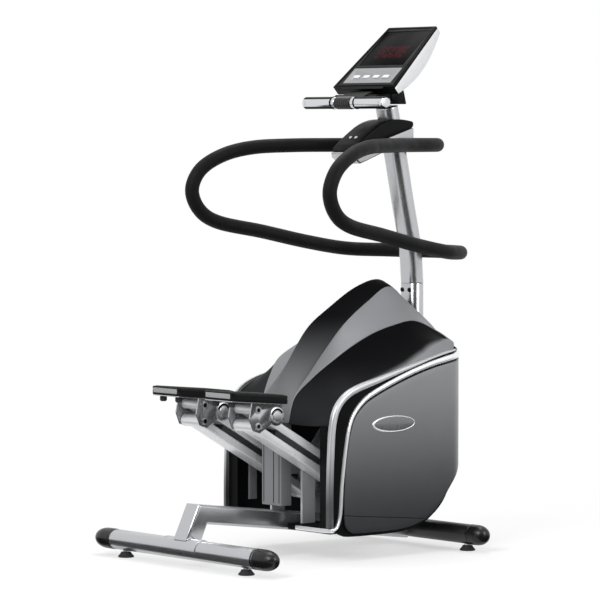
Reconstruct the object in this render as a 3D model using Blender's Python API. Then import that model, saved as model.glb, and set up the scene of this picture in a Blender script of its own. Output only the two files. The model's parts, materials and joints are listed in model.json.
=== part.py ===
"""Stair climber: an independent-step gym machine with two swinging pedals.

Frame: +X is the user's right, +Y the way the user faces, +Z up. The origin is on the
floor, midway between the rearmost and the foremost point. All sizes are in metres.
Each pedal hangs on a parallelogram of two arms. Inside the shroud the arms turn on two
cross shafts, and the drums, the pulley, the belt and the flywheel give the resistance.
"""
from math import atan2, cos, pi, radians, sin

import bmesh
import bpy
from mathutils import Matrix, Vector

# ---------------------------------------------------------------- driving dimensions
GAP = 0.0003                      # clearance between pieces that touch
SIDES = (("left", -1), ("right", 1))

# stabilizers and beam
TUBE_R = 0.030                    # both floor tubes
TUBE_WALL = 0.0025
TUBE_Z = 0.050
REAR_Y = -0.515
FRONT_Y = 0.373
REAR_HALF = 0.345                 # bare tube, without its end caps
FRONT_HALF = 0.300
REAR_CAP = 0.070
FRONT_CAP = 0.050
FOOT_REAR_X = 0.280
FOOT_FRONT_X = 0.264
FOOT_R = 0.024
BEAM_HALF_W = 0.032
BEAM_H = 0.056
BEAM_REAR = (-0.470, 0.150)       # centre of the elbow, (y, z)
BEAM_FRONT = (0.3425, 0.048)
POST_FOOT = (-0.505, 0.078)

# mast
MAST_HALF_W = 0.037
MAST_HALF_D = 0.0265
MAST_WALL = 0.003
MAST_JOINT_Z = 0.803
MAST_LINE = ((0.386, 0.807), (0.376, 0.917), (0.345, 1.059), (0.316, 1.195), (0.289, 1.304),
             (0.2795, 1.344))
MAST_BOLT_R = 0.007
MAST_BOLT_X = 0.016
MAST_BOLT_Z = 0.783

# handrail: centre line of the right half, from the front of the upper rail, round the
# rear bend, to the front of the lower rail
RAIL_R = 0.0215
RAIL_TUBE_R = 0.0160
RAIL_TUBE_WALL = 0.0025
RAIL_HALF_LINE = ((0.000, 0.462, 1.228), (0.052, 0.442, 1.228), (0.083, 0.385, 1.228),
                  (0.108, 0.300, 1.228), (0.150, 0.190, 1.228), (0.205, 0.075, 1.227),
                  (0.258, -0.035, 1.221), (0.291, -0.125, 1.199), (0.311, -0.199, 1.155),
                  (0.3165, -0.230, 1.092), (0.312, -0.203, 1.030), (0.302, -0.135, 0.992),
                  (0.276, 0.013, 0.963), (0.256, 0.170, 0.930), (0.232, 0.316, 0.906),
                  (0.168, 0.430, 0.900), (0.084, 0.490, 0.898), (0.000, 0.507, 0.898))

# rail cover, and the split between its black top and its silver underside, (y, z)
COVER_HALF_W = 0.052
COVER_TOP = ((0.110, 1.226), (0.158, 1.262), (0.205, 1.290), (0.250, 1.305), (0.346, 1.300))
COVER_BOTTOM = ((0.346, 1.185), (0.135, 1.170), (0.100, 1.190))
COVER_SPLIT = ((0.096, 1.206), (0.346, 1.282))

# console: its face starts at the lower edge and leans forward
CONSOLE_BASE = (0.0, 0.182, 1.405)
CONSOLE_TILT = radians(42.3)
CONSOLE_LEN = 0.275
CONSOLE_HALF_LOW = 0.138
CONSOLE_HALF_HIGH = 0.108
FACE_T = 0.006
WINDOW = (0.100, 0.098, 0.255)    # half width, low and high edge up the face
KEYPAD = (0.108, 0.018, 0.086)
KEY_COUNT = 4
KEY_PITCH = 0.044
KEY_SIZE = (0.026, 0.012)
KEY_UP = 0.046                    # centre of the row, up the face
KEY_PROUD = 0.0015

# pulse bar
BAR_Y = 0.112
BAR_Z = 1.356
BAR_HALF = 0.182
BAR_CORE_R = 0.011
CONTACT_R = 0.0185
CONTACT_X = 0.056
BLOCK_HALF = 0.036

# arms and pedals: the pivots of the parallelogram
FRAME_PIVOT_Y = 0.050
FRAME_PIVOT_Z = 0.217             # upper one, on the frame
PEDAL_PIVOT_Y = -0.380
PEDAL_PIVOT_Z = 0.460             # upper one, on the pedal bracket
PIVOT_DROP = 0.048                # from the upper to the lower pivot
ARM_X = 0.1225                    # centre of each pedal and its arms
ARM_HALF_W = 0.034
ARM_DEPTH = 0.024
ARM_WALL = 0.003
ARM_CHANNEL_END = 0.030           # solid length left at each boss
BOSS_PROUD = 0.009                # each boss beyond the bar's side
UPPER_BOSS_R = 0.0150
LOWER_BOSS_R = 0.0185
PIN_R = 0.0080
PIN_BORE_R = 0.0050
RUN = 0.0003                      # radial running clearance
PLATE_T = 0.005
PLATE_X = 0.0475                  # from the pedal's centre to each side plate
PEDAL_HALF_W = 0.0675
PEDAL_REAR_Y = -0.491
PEDAL_FRONT_Y = -0.275
PEDAL_REAR_Z = 0.4925             # underside at the rear edge
PEDAL_SLOPE = -0.090
PEDAL_T = 0.027
SEAT_T = 0.003                    # bent sheet under the pedal

# drive
SHAFT_Y = 0.160
SHAFT_Z = 0.400
SHAFT_R = 0.010
DRUM_R = 0.030
PULLEY_R = 0.090
BELT_X = (0.018, 0.034)
BELT_T = 0.002
FLYWHEEL_Y = 0.200
FLYWHEEL_Z = 0.205
FLYWHEEL_R = 0.098
FLYWHEEL_X = (-0.034, -0.010)
SMALL_PULLEY_R = 0.022
UPRIGHT_X = (0.066, 0.074)
UPRIGHT_OUTLINE = ((-0.125, 0.084), (-0.125, 0.262), (-0.010, 0.262), (0.125, 0.435),
                   (0.195, 0.435), (0.238, 0.250), (0.238, 0.084), (0.000, 0.084),
                   (0.000, 0.235), (-0.075, 0.235), (-0.075, 0.084))
FLANGE_Z = (0.084, 0.090)
SPRING_R = 0.0155
SPRING_WIRE_R = 0.0020
SPRING_TURNS = 3

# shroud: side walls in plan, (x, y), and their outline from the side, (y, z)
WALL = 0.004
SIDE_X = 0.243
COVER_PLAN = ((0.190, -0.157), (0.228, -0.157), (0.243, -0.142), (0.243, 0.298),
              (0.233, 0.343), (0.200, 0.387), (0.150, 0.423), (0.080, 0.451), (0.000, 0.461))
COVER_SIDE = ((-0.170, 0.110), (-0.170, 0.4035), (-0.1525, 0.4035), (-0.144, 0.432),
              (-0.122, 0.462), (-0.060, 0.503), (0.036, 0.531), (0.165, 0.563), (0.280, 0.591),
              (0.346, 0.602), (0.400, 0.611), (0.490, 0.622), (0.490, 0.300), (0.400, 0.272),
              (0.355, 0.250), (0.323, 0.204), (0.290, 0.155), (0.250, 0.118), (0.200, 0.092), (0.108, 0.074),
              (-0.090, 0.074), (-0.135, 0.086))
PANEL_X = (0.2433, 0.2500)
PANEL_SIDE = ((-0.112, 0.150), (-0.098, 0.385), (-0.080, 0.425), (-0.036, 0.470),
              (0.080, 0.520), (0.200, 0.557), (0.298, 0.580), (0.298, 0.178), (0.270, 0.145),
              (0.235, 0.117), (0.195, 0.098), (0.105, 0.080), (-0.090, 0.080), (-0.108, 0.098))
# hood stations from the front to the rear lower edge: centre, ridge of the spine band,
# crease above the side recess, and edge on the side cover, each (x, y, z)
HOOD = (
    ((0.000, 0.460, 0.6335), (0.050, 0.457, 0.633), (0.130, 0.434, 0.628), (0.236, 0.338, 0.6125)),
    ((0.000, 0.430, 0.676), (0.050, 0.425, 0.672), (0.125, 0.375, 0.662), (0.236, 0.300, 0.602)),
    ((0.000, 0.330, 0.765), (0.040, 0.325, 0.752), (0.120, 0.288, 0.696), (0.236, 0.225, 0.583)),
    ((0.000, 0.250, 0.818), (0.030, 0.260, 0.797), (0.120, 0.202, 0.686), (0.236, 0.150, 0.563)),
    ((0.000, 0.150, 0.797), (0.032, 0.170, 0.752), (0.120, 0.116, 0.664), (0.236, 0.080, 0.547)),
    ((0.000, 0.041, 0.737), (0.036, 0.075, 0.690), (0.120, 0.031, 0.629), (0.236, 0.000, 0.526)),
    ((0.000, -0.040, 0.682), (0.042, -0.002, 0.621), (0.120, -0.053, 0.585),
     (0.236, -0.065, 0.505)),
    ((0.000, -0.105, 0.600), (0.050, -0.080, 0.548), (0.120, -0.125, 0.530),
     (0.236, -0.115, 0.474)),
    ((0.000, -0.160, 0.510), (0.055, -0.150, 0.485), (0.118, -0.165, 0.475),
     (0.234, -0.128, 0.440)),
    ((0.000, -0.182, 0.405), (0.055, -0.178, 0.405), (0.118, -0.172, 0.405),
     (0.230, -0.138, 0.405)),
)
COLUMN_HALF_W = 0.044
COLUMN_Y = (-0.183, -0.142)
COLUMN_Z = (0.155, 0.404)


# ---------------------------------------------------------------- tools
def clear_scene():
    for obj in list(bpy.data.objects):
        bpy.data.objects.remove(obj)


def finish(name, colour, roughness, metallic=0.0):
    """A Principled material in one plain colour."""
    mat = bpy.data.materials.get(name)
    if mat is None:
        mat = bpy.data.materials.new(name)
        mat.use_nodes = True
        shader = mat.node_tree.nodes["Principled BSDF"]
        shader.inputs["Base Color"].default_value = (*colour, 1.0)
        shader.inputs["Roughness"].default_value = roughness
        shader.inputs["Metallic"].default_value = metallic
    return mat


def silver():
    return finish("silver_paint", (0.62, 0.63, 0.65), 0.35, 0.6)


def graphite():
    return finish("graphite_plastic", (0.10, 0.10, 0.11), 0.40)


def black():
    return finish("black_plastic", (0.015, 0.015, 0.017), 0.35)


def chrome():
    return finish("chrome", (0.80, 0.80, 0.82), 0.12, 1.0)


def foam():
    return finish("black_foam", (0.020, 0.020, 0.021), 0.85)


def steel():
    return finish("steel", (0.42, 0.43, 0.45), 0.40, 1.0)


def iron():
    return finish("cast_iron", (0.10, 0.10, 0.11), 0.60, 0.8)


def make_object(name, bm, mat, smooth=None):
    """Turn a bmesh into a named object; smooth is the angle below which edges are soft."""
    bmesh.ops.remove_doubles(bm, verts=bm.verts, dist=0.000001)
    bmesh.ops.recalc_face_normals(bm, faces=bm.faces)
    mesh = bpy.data.meshes.new(name)
    bm.to_mesh(mesh)
    bm.free()
    obj = bpy.data.objects.new(name, mesh)
    obj.data.materials.append(mat)
    bpy.context.scene.collection.objects.link(obj)
    if smooth is not None:
        mesh.shade_smooth()
        mesh.set_sharp_from_angle(angle=radians(smooth))
    return obj


def put_origin(obj, point):
    """Move an object's origin onto a joint's axis without moving its shape."""
    obj.data.transform(Matrix.Translation(-Vector(point)))
    obj.location = point


def place(point, axis):
    """A 2-D outline point in 3-D, in the plane across the given axis."""
    first, second, along = point
    return {"X": (along, first, second), "Y": (first, along, second),
            "Z": (first, second, along)}[axis]


def prism_mesh(outline, axis, low, high):
    bm = bmesh.new()
    corners = [bm.verts.new(place((p[0], p[1], low), axis)) for p in outline]
    face = bm.faces.new(corners)
    grown = bmesh.ops.extrude_face_region(bm, geom=[face])
    moved = [v for v in grown["geom"] if isinstance(v, bmesh.types.BMVert)]
    step = Vector(place((0.0, 0.0, high - low), axis))
    bmesh.ops.translate(bm, verts=moved, vec=step)
    return bm


def prism(name, outline, axis, low, high, mat):
    """A closed outline extruded along one axis."""
    return make_object(name, prism_mesh(outline, axis, low, high), mat)


def circle(centre, radius, steps):
    return [(centre[0] + radius * cos(2 * pi * i / steps),
             centre[1] + radius * sin(2 * pi * i / steps)) for i in range(steps)]


def rod(name, centre, radius, axis, low, high, mat, steps=16):
    obj = prism(name, circle(centre, radius, steps), axis, low, high, mat)
    obj.data.shade_smooth()
    obj.data.set_sharp_from_angle(angle=radians(40))
    return obj


def turned(name, profile, centre, axis, mat, steps=16):
    """Turn a profile of (radius, distance along the axis) points round an axis line."""
    bm = bmesh.new()
    rings = []
    for radius, along in profile:
        ring = [bm.verts.new(place((x, y, along), axis))
                for x, y in circle(centre, max(radius, 0.0002), steps)]
        rings.append(ring)
    join_rings(bm, rings, closed=True)
    bm.faces.new(rings[0])
    bm.faces.new(rings[-1])
    return make_object(name, bm, mat, smooth=40)


def join_rings(bm, rings, closed):
    """Quads between each ring of vertices and the next."""
    for near, far in zip(rings, rings[1:]):
        count = len(near)
        for i in range(count if closed else count - 1):
            j = (i + 1) % count
            bm.faces.new((near[i], near[j], far[j], far[i]))


def box_outline(low, high):
    return ((low[0], low[1]), (high[0], low[1]), (high[0], high[1]), (low[0], high[1]))


def rounded_section(half_w, half_h, radius, steps=2):
    """A rectangle with round corners, anticlockwise."""
    points = []
    corners = ((1, 1, 0), (-1, 1, 90), (-1, -1, 180), (1, -1, 270))
    for sx, sy, start in corners:
        for i in range(steps + 1):
            angle = radians(start + 90 * i / steps)
            points.append((sx * (half_w - radius) + radius * cos(angle),
                           sy * (half_h - radius) + radius * sin(angle)))
    return points


def smooth_line(points, steps):
    """Catmull-Rom points through a list of points, with the ends extended straight."""
    points = [Vector(p) for p in points]
    ends = [2 * points[0] - points[1]] + points + [2 * points[-1] - points[-2]]
    line = []
    for i in range(1, len(ends) - 2):
        a, b, c, d = ends[i - 1:i + 3]
        for k in range(steps):
            t = k / steps
            line.append(0.5 * (2 * b + (c - a) * t + (2 * a - 5 * b + 4 * c - d) * t ** 2
                               + (3 * b - a - 3 * c + d) * t ** 3))
    line.append(points[-1])
    return line


def rings_along(line, section, side):
    """The section's points at each point of a line, square to it and without twist."""
    rings = []
    side = Vector(side)
    for i, point in enumerate(line):
        ahead = line[min(i + 1, len(line) - 1)] - line[max(i - 1, 0)]
        ahead.normalize()
        side = (side - side.dot(ahead) * ahead).normalized()
        up = side.cross(ahead)
        rings.append([point + side * x + up * y for x, y in section])
    return rings


def swept(name, line, outer, mat, side, inner=None, smooth=40):
    """A section swept along a line: solid, or a tube if an inner section is given."""
    bm = bmesh.new()
    shells = []
    for section in (outer, inner) if inner else (outer,):
        rings = [[bm.verts.new(p) for p in ring] for ring in rings_along(line, section, side)]
        join_rings(bm, rings, closed=True)
        shells.append(rings)
    if inner:
        join_rings(bm, [shells[0][0], shells[1][0]], closed=True)
        join_rings(bm, [shells[0][-1], shells[1][-1]], closed=True)
    else:
        bm.faces.new(shells[0][0])
        bm.faces.new(shells[0][-1])
    return make_object(name, bm, mat, smooth)


def boolean(obj, tool, operation):
    """Combine an object with a hidden tool object by an exact Boolean."""
    tool.hide_render = True
    tool.display_type = "WIRE"
    modifier = obj.modifiers.new(operation.lower(), "BOOLEAN")
    modifier.operation = operation
    modifier.object = tool
    modifier.solver = "EXACT"


def cut(obj, tool):
    boolean(obj, tool, "DIFFERENCE")


def join(obj, tool):
    boolean(obj, tool, "UNION")


# ---------------------------------------------------------------- base frame
def build_stabilizer(name, y, half, cap, mat, cap_mat):
    outer = circle((0.0, 0.0), TUBE_R, 20)
    inner = circle((0.0, 0.0), TUBE_R - TUBE_WALL, 20)
    line = [Vector((-half, y, TUBE_Z)), Vector((half, y, TUBE_Z))]
    tube = swept(f"{name}_stabilizer", line, outer, mat, (0, 0, 1), inner)
    foot_x = FOOT_REAR_X if name == "rear" else FOOT_FRONT_X
    for side, sign in SIDES:
        stud_hole = rod(f"{name}_{side}_stud_hole", (sign * foot_x, y), 0.0063, "Z", 0.0, 0.050,
                        mat, 12)
        cut(tube, stud_hole)
        build_foot(f"foot_{name}_{side}", sign * foot_x, y)
        plug_r = TUBE_R - TUBE_WALL - 0.0008
        profile = [(plug_r - 0.003, half - 0.018), (plug_r, half - 0.015), (plug_r, half + GAP),
                   (TUBE_R + 0.001, half + GAP), (TUBE_R + 0.001, half + 0.35 * cap),
                   (TUBE_R - 0.004, half + 0.70 * cap), (TUBE_R - 0.012, half + 0.93 * cap),
                   (TUBE_R - 0.020, half + cap)]
        profile = [(radius, sign * along) for radius, along in profile]
        turned(f"{name}_end_cap_{side}", profile, (y, TUBE_Z), "X", cap_mat, 16)
    return tube


def build_foot(name, x, y):
    """A rubber foot with a stud that screws up into the tube."""
    profile = [(FOOT_R, 0.0), (FOOT_R, 0.004), (0.015, 0.016), (0.0135, 0.0195), (0.006, 0.0197),
               (0.006, 0.040)]
    turned(name, profile, (x, y), "Z", foam(), 16)


def build_beam():
    """The long beam and, mitred to its rear end, the short post that meets the tube."""
    post_foot = Vector((0.0, *POST_FOOT))
    elbow = Vector((0.0, *BEAM_REAR))
    front = Vector((0.0, *BEAM_FRONT))
    outer = rounded_section(BEAM_HALF_W, BEAM_H / 2, 0.010)
    inner = rounded_section(BEAM_HALF_W - TUBE_WALL, BEAM_H / 2 - TUBE_WALL, 0.0075)
    bm = bmesh.new()
    down = (post_foot - elbow).normalized()
    along = (front - elbow).normalized()
    mitre = (along - down).normalized()
    shells = []
    for section in (outer, inner):
        rings = []
        for point, normal, ahead in ((post_foot + down * 0.010, Vector((0, 0, 1)), -down),
                                     (elbow, mitre, along),
                                     (front, Vector((0, 1, 0)), along)):
            up = Vector((1, 0, 0)).cross(ahead)
            ring = []
            for x, h in section:
                raw = point + Vector((x, 0, 0)) + up * h
                if normal is mitre or point is front:
                    raw -= ahead * ((raw - point).dot(normal) / ahead.dot(normal))
                ring.append(bm.verts.new(raw))
            rings.append(ring)
        join_rings(bm, rings, closed=True)
        shells.append(rings)
    for end in (0, -1):
        join_rings(bm, [shells[0][end], shells[1][end]], closed=True)
    beam = make_object("main_beam", bm, silver(), 40)
    saddle_y = rod("rear_saddle_space", (REAR_Y, TUBE_Z), TUBE_R + 0.004, "X", -0.1, 0.1,
                   silver(), 48)
    cut(beam, saddle_y)
    front_tube = rod("front_tube_space", (FRONT_Y, TUBE_Z), TUBE_R + GAP, "X", -0.1, 0.1,
                     silver(), 48)
    cut(beam, front_tube)


def build_saddle():
    """Pressed plate over the rear tube that the post is welded to."""
    inner_r = TUBE_R + 0.0005
    outer_r = TUBE_R + 0.0028
    steps = 24
    start, end = radians(-15), radians(195)
    arc = [start + (end - start) * i / steps for i in range(steps + 1)]
    outline = [(REAR_Y + outer_r * cos(t), TUBE_Z + outer_r * sin(t)) for t in arc]
    outline += [(REAR_Y + inner_r * cos(t), TUBE_Z + inner_r * sin(t)) for t in reversed(arc)]
    prism("rear_saddle", outline, "X", -0.082, 0.082, silver())


# ---------------------------------------------------------------- mast and rails
def build_mast():
    outer = rounded_section(MAST_HALF_W, MAST_HALF_D, 0.014)
    inner = rounded_section(MAST_HALF_W - MAST_WALL, MAST_HALF_D - MAST_WALL, 0.011)
    foot = Vector((0.0, 0.386, 0.060))
    top = Vector((0.0, 0.386, MAST_JOINT_Z - GAP))
    column = swept("lower_column", [foot, top], outer, silver(), (1, 0, 0), inner)
    cut(column, rod("column_foot_space", (FRONT_Y, TUBE_Z), TUBE_R + GAP, "X", -0.1, 0.1,
                    silver(), 48))
    cut(column, rod("beam_end_space", (0.3, 0.046), 0.045, "X", -0.1, 0.1, silver(), 32))
    for side, sign in SIDES:
        hole = rod(f"mast_bolt_hole_{side}", (sign * MAST_BOLT_X, MAST_BOLT_Z), MAST_BOLT_R, "Y",
                   0.340, 0.380, silver(), 12)
        cut(column, hole)
    foot = Vector((0.0, 0.386, MAST_JOINT_Z))
    line = [foot] + smooth_line([(0.0, y, z) for y, z in MAST_LINE], 2)
    swept("mast", line, outer, silver(), (1, 0, 0), inner)


def rail_line(steps):
    """The right half of the rail's centre line, smooth across the front as well."""
    right = [Vector(p) for p in RAIL_HALF_LINE]
    left = [Vector((-p[0], p[1], p[2])) for p in RAIL_HALF_LINE]
    loop = [left[1]] + right + [left[-2]]
    line = smooth_line(loop, steps)
    return line[steps:-steps]


def build_handrail():
    right = rail_line(2)
    front, low_front = right[0], right[-1]
    starts = [Vector((x, front.y, front.z)) for x in (GAP, 0.003)]
    ends = [Vector((x, low_front.y, low_front.z)) for x in (0.003, GAP)]
    right = starts + right[1:-1] + ends
    outer = circle((0.0, 0.0), RAIL_R, 8)
    bore = circle((0.0, 0.0), RAIL_TUBE_R + 0.0010, 8)
    tube = circle((0.0, 0.0), RAIL_TUBE_R - 0.0005, 6)
    tube_bore = circle((0.0, 0.0), RAIL_TUBE_R - RAIL_TUBE_WALL, 6)
    for side, sign in SIDES:
        line = [Vector((sign * p.x, p.y, p.z)) for p in right]
        swept(f"rail_foam_{side}", line, outer, foam(), (0, 0, 1), bore)
    left = [Vector((-p.x, p.y, p.z)) for p in right]
    loop = list(reversed(right))[:-1] + [front] + left[1:]
    swept("rail_tube", loop, tube, steel(), (0, 0, 1), tube_bore)


def mast_hole(name, clearance):
    """A cutter round the mast for the pieces that it passes through."""
    section = rounded_section(MAST_HALF_W + clearance, MAST_HALF_D + clearance, 0.014)
    line = smooth_line([(0.0, y, z) for y, z in MAST_LINE[1:]], 2)
    return swept(name, line, section, silver(), (1, 0, 0))


def split_z(y):
    (y0, z0), (y1, z1) = COVER_SPLIT
    return z0 + (z1 - z0) * (y - y0) / (y1 - y0)


def build_rail_cover():
    """Clamp cover where the upper rails pass the mast: black lid, silver underside."""
    lid = [(y, z) for y, z in COVER_TOP] + [(COVER_SPLIT[1][0], split_z(COVER_SPLIT[1][0]) + GAP),
                                            (COVER_SPLIT[0][0], split_z(COVER_SPLIT[0][0]) + GAP)]
    base = list(COVER_BOTTOM) + [COVER_SPLIT[0], COVER_SPLIT[1]]
    upper = prism("rail_cover_lid", lid, "X", -COVER_HALF_W, COVER_HALF_W, black())
    lower = prism("rail_cover_base", base, "X", -COVER_HALF_W, COVER_HALF_W, silver())
    for obj in (upper, lower):
        cut(obj, mast_hole(f"{obj.name}_mast_hole", GAP))


# ---------------------------------------------------------------- console
def console_matrix():
    """Console axes: X across, Y up the face, Z out of the face towards the user."""
    return Matrix.Translation(CONSOLE_BASE) @ Matrix.Rotation(CONSOLE_TILT, 4, "X")


def console_half(up):
    share = up / CONSOLE_LEN
    return CONSOLE_HALF_LOW + (CONSOLE_HALF_HIGH - CONSOLE_HALF_LOW) * share


def console_plate(name, outline, low, high, mat):
    bm = prism_mesh(outline, "Z", low, high)
    bmesh.ops.transform(bm, matrix=console_matrix(), verts=bm.verts)
    return make_object(name, bm, mat)


def slab(half, low, high, inset=0.0):
    return ((-half + inset, low + inset), (half - inset, low + inset),
            (half - inset, high - inset), (-half + inset, high - inset))


def build_console():
    tall = CONSOLE_LEN
    face_outline = ((-console_half(0), 0), (console_half(0), 0), (console_half(tall), tall),
                    (-console_half(tall), tall))
    face = console_plate("console_face", face_outline, -FACE_T, 0.0, black())
    window_space = console_plate("window_space", slab(*WINDOW), -0.02, 0.02, black())
    keypad_space = console_plate("keypad_space", slab(*KEYPAD), -0.02, 0.02, black())
    cut(face, window_space)
    cut(face, keypad_space)
    console_plate("display_window", slab(*WINDOW, GAP), -FACE_T, -0.001, black())
    keypad = console_plate("keypad_plate", slab(*KEYPAD, GAP), -FACE_T, -0.0005, silver())
    for i in range(KEY_COUNT):
        x = (i - (KEY_COUNT - 1) / 2) * KEY_PITCH
        half_w, half_h = KEY_SIZE[0] / 2, KEY_SIZE[1] / 2
        key_box = ((x - half_w, KEY_UP - half_h), (x + half_w, KEY_UP - half_h),
                   (x + half_w, KEY_UP + half_h), (x - half_w, KEY_UP + half_h))
        key = console_plate(f"key_{i + 1}", key_box, -0.0040, KEY_PROUD, steel())
        put_origin(key, console_matrix() @ Vector((x, KEY_UP, 0.0)))
        grow = 0.0004
        hole = ((x - half_w - grow, KEY_UP - half_h - grow),
                (x + half_w + grow, KEY_UP - half_h - grow),
                (x + half_w + grow, KEY_UP + half_h + grow),
                (x - half_w - grow, KEY_UP + half_h + grow))
        cut(keypad, console_plate(f"key_hole_{i + 1}", hole, -0.02, 0.02, black()))
    build_console_back()
    build_console_hood()


def build_console_back():
    """Silver back shell: flat against the face, bowed behind, hollow inside."""
    steps = 8
    face_z = -FACE_T - GAP
    profile = [(0.0, face_z), (CONSOLE_LEN, face_z)]
    for i in range(steps + 1):
        share = i / steps
        up = CONSOLE_LEN * (1 - share)
        depth = 0.012 + 0.036 * sin(pi * (0.08 + 0.80 * share))
        profile.append((up, face_z - depth))
    bm = bmesh.new()
    rings = []
    for sign in (-1, 1):
        rings.append([bm.verts.new((sign * console_half(up), up, z)) for up, z in profile])
    join_rings(bm, rings, closed=True)
    bm.faces.new(rings[0])
    bm.faces.new(rings[1])
    bmesh.ops.transform(bm, matrix=console_matrix(), verts=bm.verts)
    back = make_object("console_back", bm, silver(), 30)
    hollow = ((-0.098, 0.020), (0.098, 0.020), (0.092, 0.250), (-0.092, 0.250))
    pocket = console_plate("console_hollow", hollow, -0.020, -0.009, black())
    wiring = console_plate("console_wiring_hole", slab(0.020, 0.060, 0.100), -0.10, -0.015,
                           black())
    cut(back, pocket)
    cut(back, wiring)


def build_console_hood():
    """Dark neck that carries the console and the pulse bar on the mast's top."""
    outline = ((0.131, 1.340), (0.240, 1.3525), (0.315, 1.3525), (0.302, 1.400), (0.262, 1.404),
               (0.215, 1.376), (0.196, 1.372), (0.180, 1.392), (0.131, 1.374))
    hood = prism("console_neck", outline, "X", -0.052, 0.052, black())
    bore = prism("neck_hollow", ((0.252, 1.330), (0.300, 1.330), (0.292, 1.392), (0.262, 1.388)),
                 "X", -0.030, 0.030, black())
    cut(hood, bore)


def build_pulse_bar():
    rod("pulse_bar", (BAR_Y, BAR_Z), BAR_CORE_R, "X", -BAR_HALF + 0.004, BAR_HALF - 0.004,
        steel(), 16)
    for side, sign in SIDES:
        profile = [(BAR_CORE_R + GAP, CONTACT_X), (CONTACT_R, CONTACT_X),
                   (CONTACT_R, BAR_HALF - 0.003), (CONTACT_R - 0.003, BAR_HALF),
                   (0.0, BAR_HALF), (0.0, BAR_HALF - 0.0037),
                   (BAR_CORE_R + GAP, BAR_HALF - 0.0037), (BAR_CORE_R + GAP, CONTACT_X)]
        build_sleeve(f"pulse_contact_{side}", profile, sign)
    outline = [(BAR_Y + 0.020 * cos(t), BAR_Z + 0.020 * sin(t))
               for t in (radians(60 + 24 * i) for i in range(11))]
    outline += [(0.1305, 1.339), (0.1305, 1.3735)]
    block = prism("bar_block", outline, "X", -BLOCK_HALF, BLOCK_HALF, black())
    cut(block, rod("bar_bore", (BAR_Y, BAR_Z), BAR_CORE_R + GAP, "X", -0.1, 0.1, black(), 16))


def build_sleeve(name, profile, sign):
    """A turned cup open at its inner end."""
    bm = bmesh.new()
    rings = []
    for radius, along in profile:
        ring = [bm.verts.new((sign * along, y, z))
                for y, z in circle((BAR_Y, BAR_Z), max(radius, 0.0002), 16)]
        rings.append(ring)
    join_rings(bm, rings, closed=True)
    bmesh.ops.remove_doubles(bm, verts=bm.verts, dist=0.00005)
    make_object(name, bm, chrome(), 40)


# ---------------------------------------------------------------- arms and pedals
def build_arm(name, side, sign, drop, boss_r):
    """A channel, open below, with a cross boss at each end, bored for its pivots."""
    frame_z = FRAME_PIVOT_Z - drop
    pedal_z = PEDAL_PIVOT_Z - drop
    lean = atan2(pedal_z - frame_z, PEDAL_PIVOT_Y - FRAME_PIVOT_Y)
    along = Vector((cos(lean), sin(lean)))
    across = Vector((-along.y, along.x))
    start = Vector((FRAME_PIVOT_Y, frame_z))
    end = Vector((PEDAL_PIVOT_Y, pedal_z))
    half = ARM_DEPTH / 2
    corners = [start + across * half, end + across * half, end - across * half,
               start - across * half]
    low, high = sorted((sign * (ARM_X - ARM_HALF_W), sign * (ARM_X + ARM_HALF_W)))
    arm = prism(f"{name}_arm_{side}", [tuple(c) for c in corners], "X", low, high, silver())
    inner = half - ARM_WALL
    under = half + 0.01
    reach = along * ARM_CHANNEL_END
    channel = [start + reach + across * under, end - reach + across * under,
               end - reach - across * inner, start + reach - across * inner]
    cut(arm, prism(f"{name}_channel_{side}", [tuple(c) for c in channel], "X",
                   low + ARM_WALL, high - ARM_WALL, silver()))
    boss_half = ARM_HALF_W + BOSS_PROUD
    low, high = sorted((sign * (ARM_X - boss_half), sign * (ARM_X + boss_half)))
    ends = (("frame", start), ("pedal", end))
    for tag, centre in ends:
        join(arm, rod(f"{name}_{tag}_boss_{side}", tuple(centre), boss_r, "X", low, high,
                      silver()))
    for tag, centre in ends:
        cut(arm, rod(f"{name}_{tag}_bore_{side}", tuple(centre), PIN_R + RUN, "X", low - 0.01,
                     high + 0.01, silver()))
    put_origin(arm, (sign * ARM_X, FRAME_PIVOT_Y, frame_z))


def pedal_under(y):
    """Height of the pedal's underside."""
    return PEDAL_REAR_Z + PEDAL_SLOPE * (y - PEDAL_REAR_Y)


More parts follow.
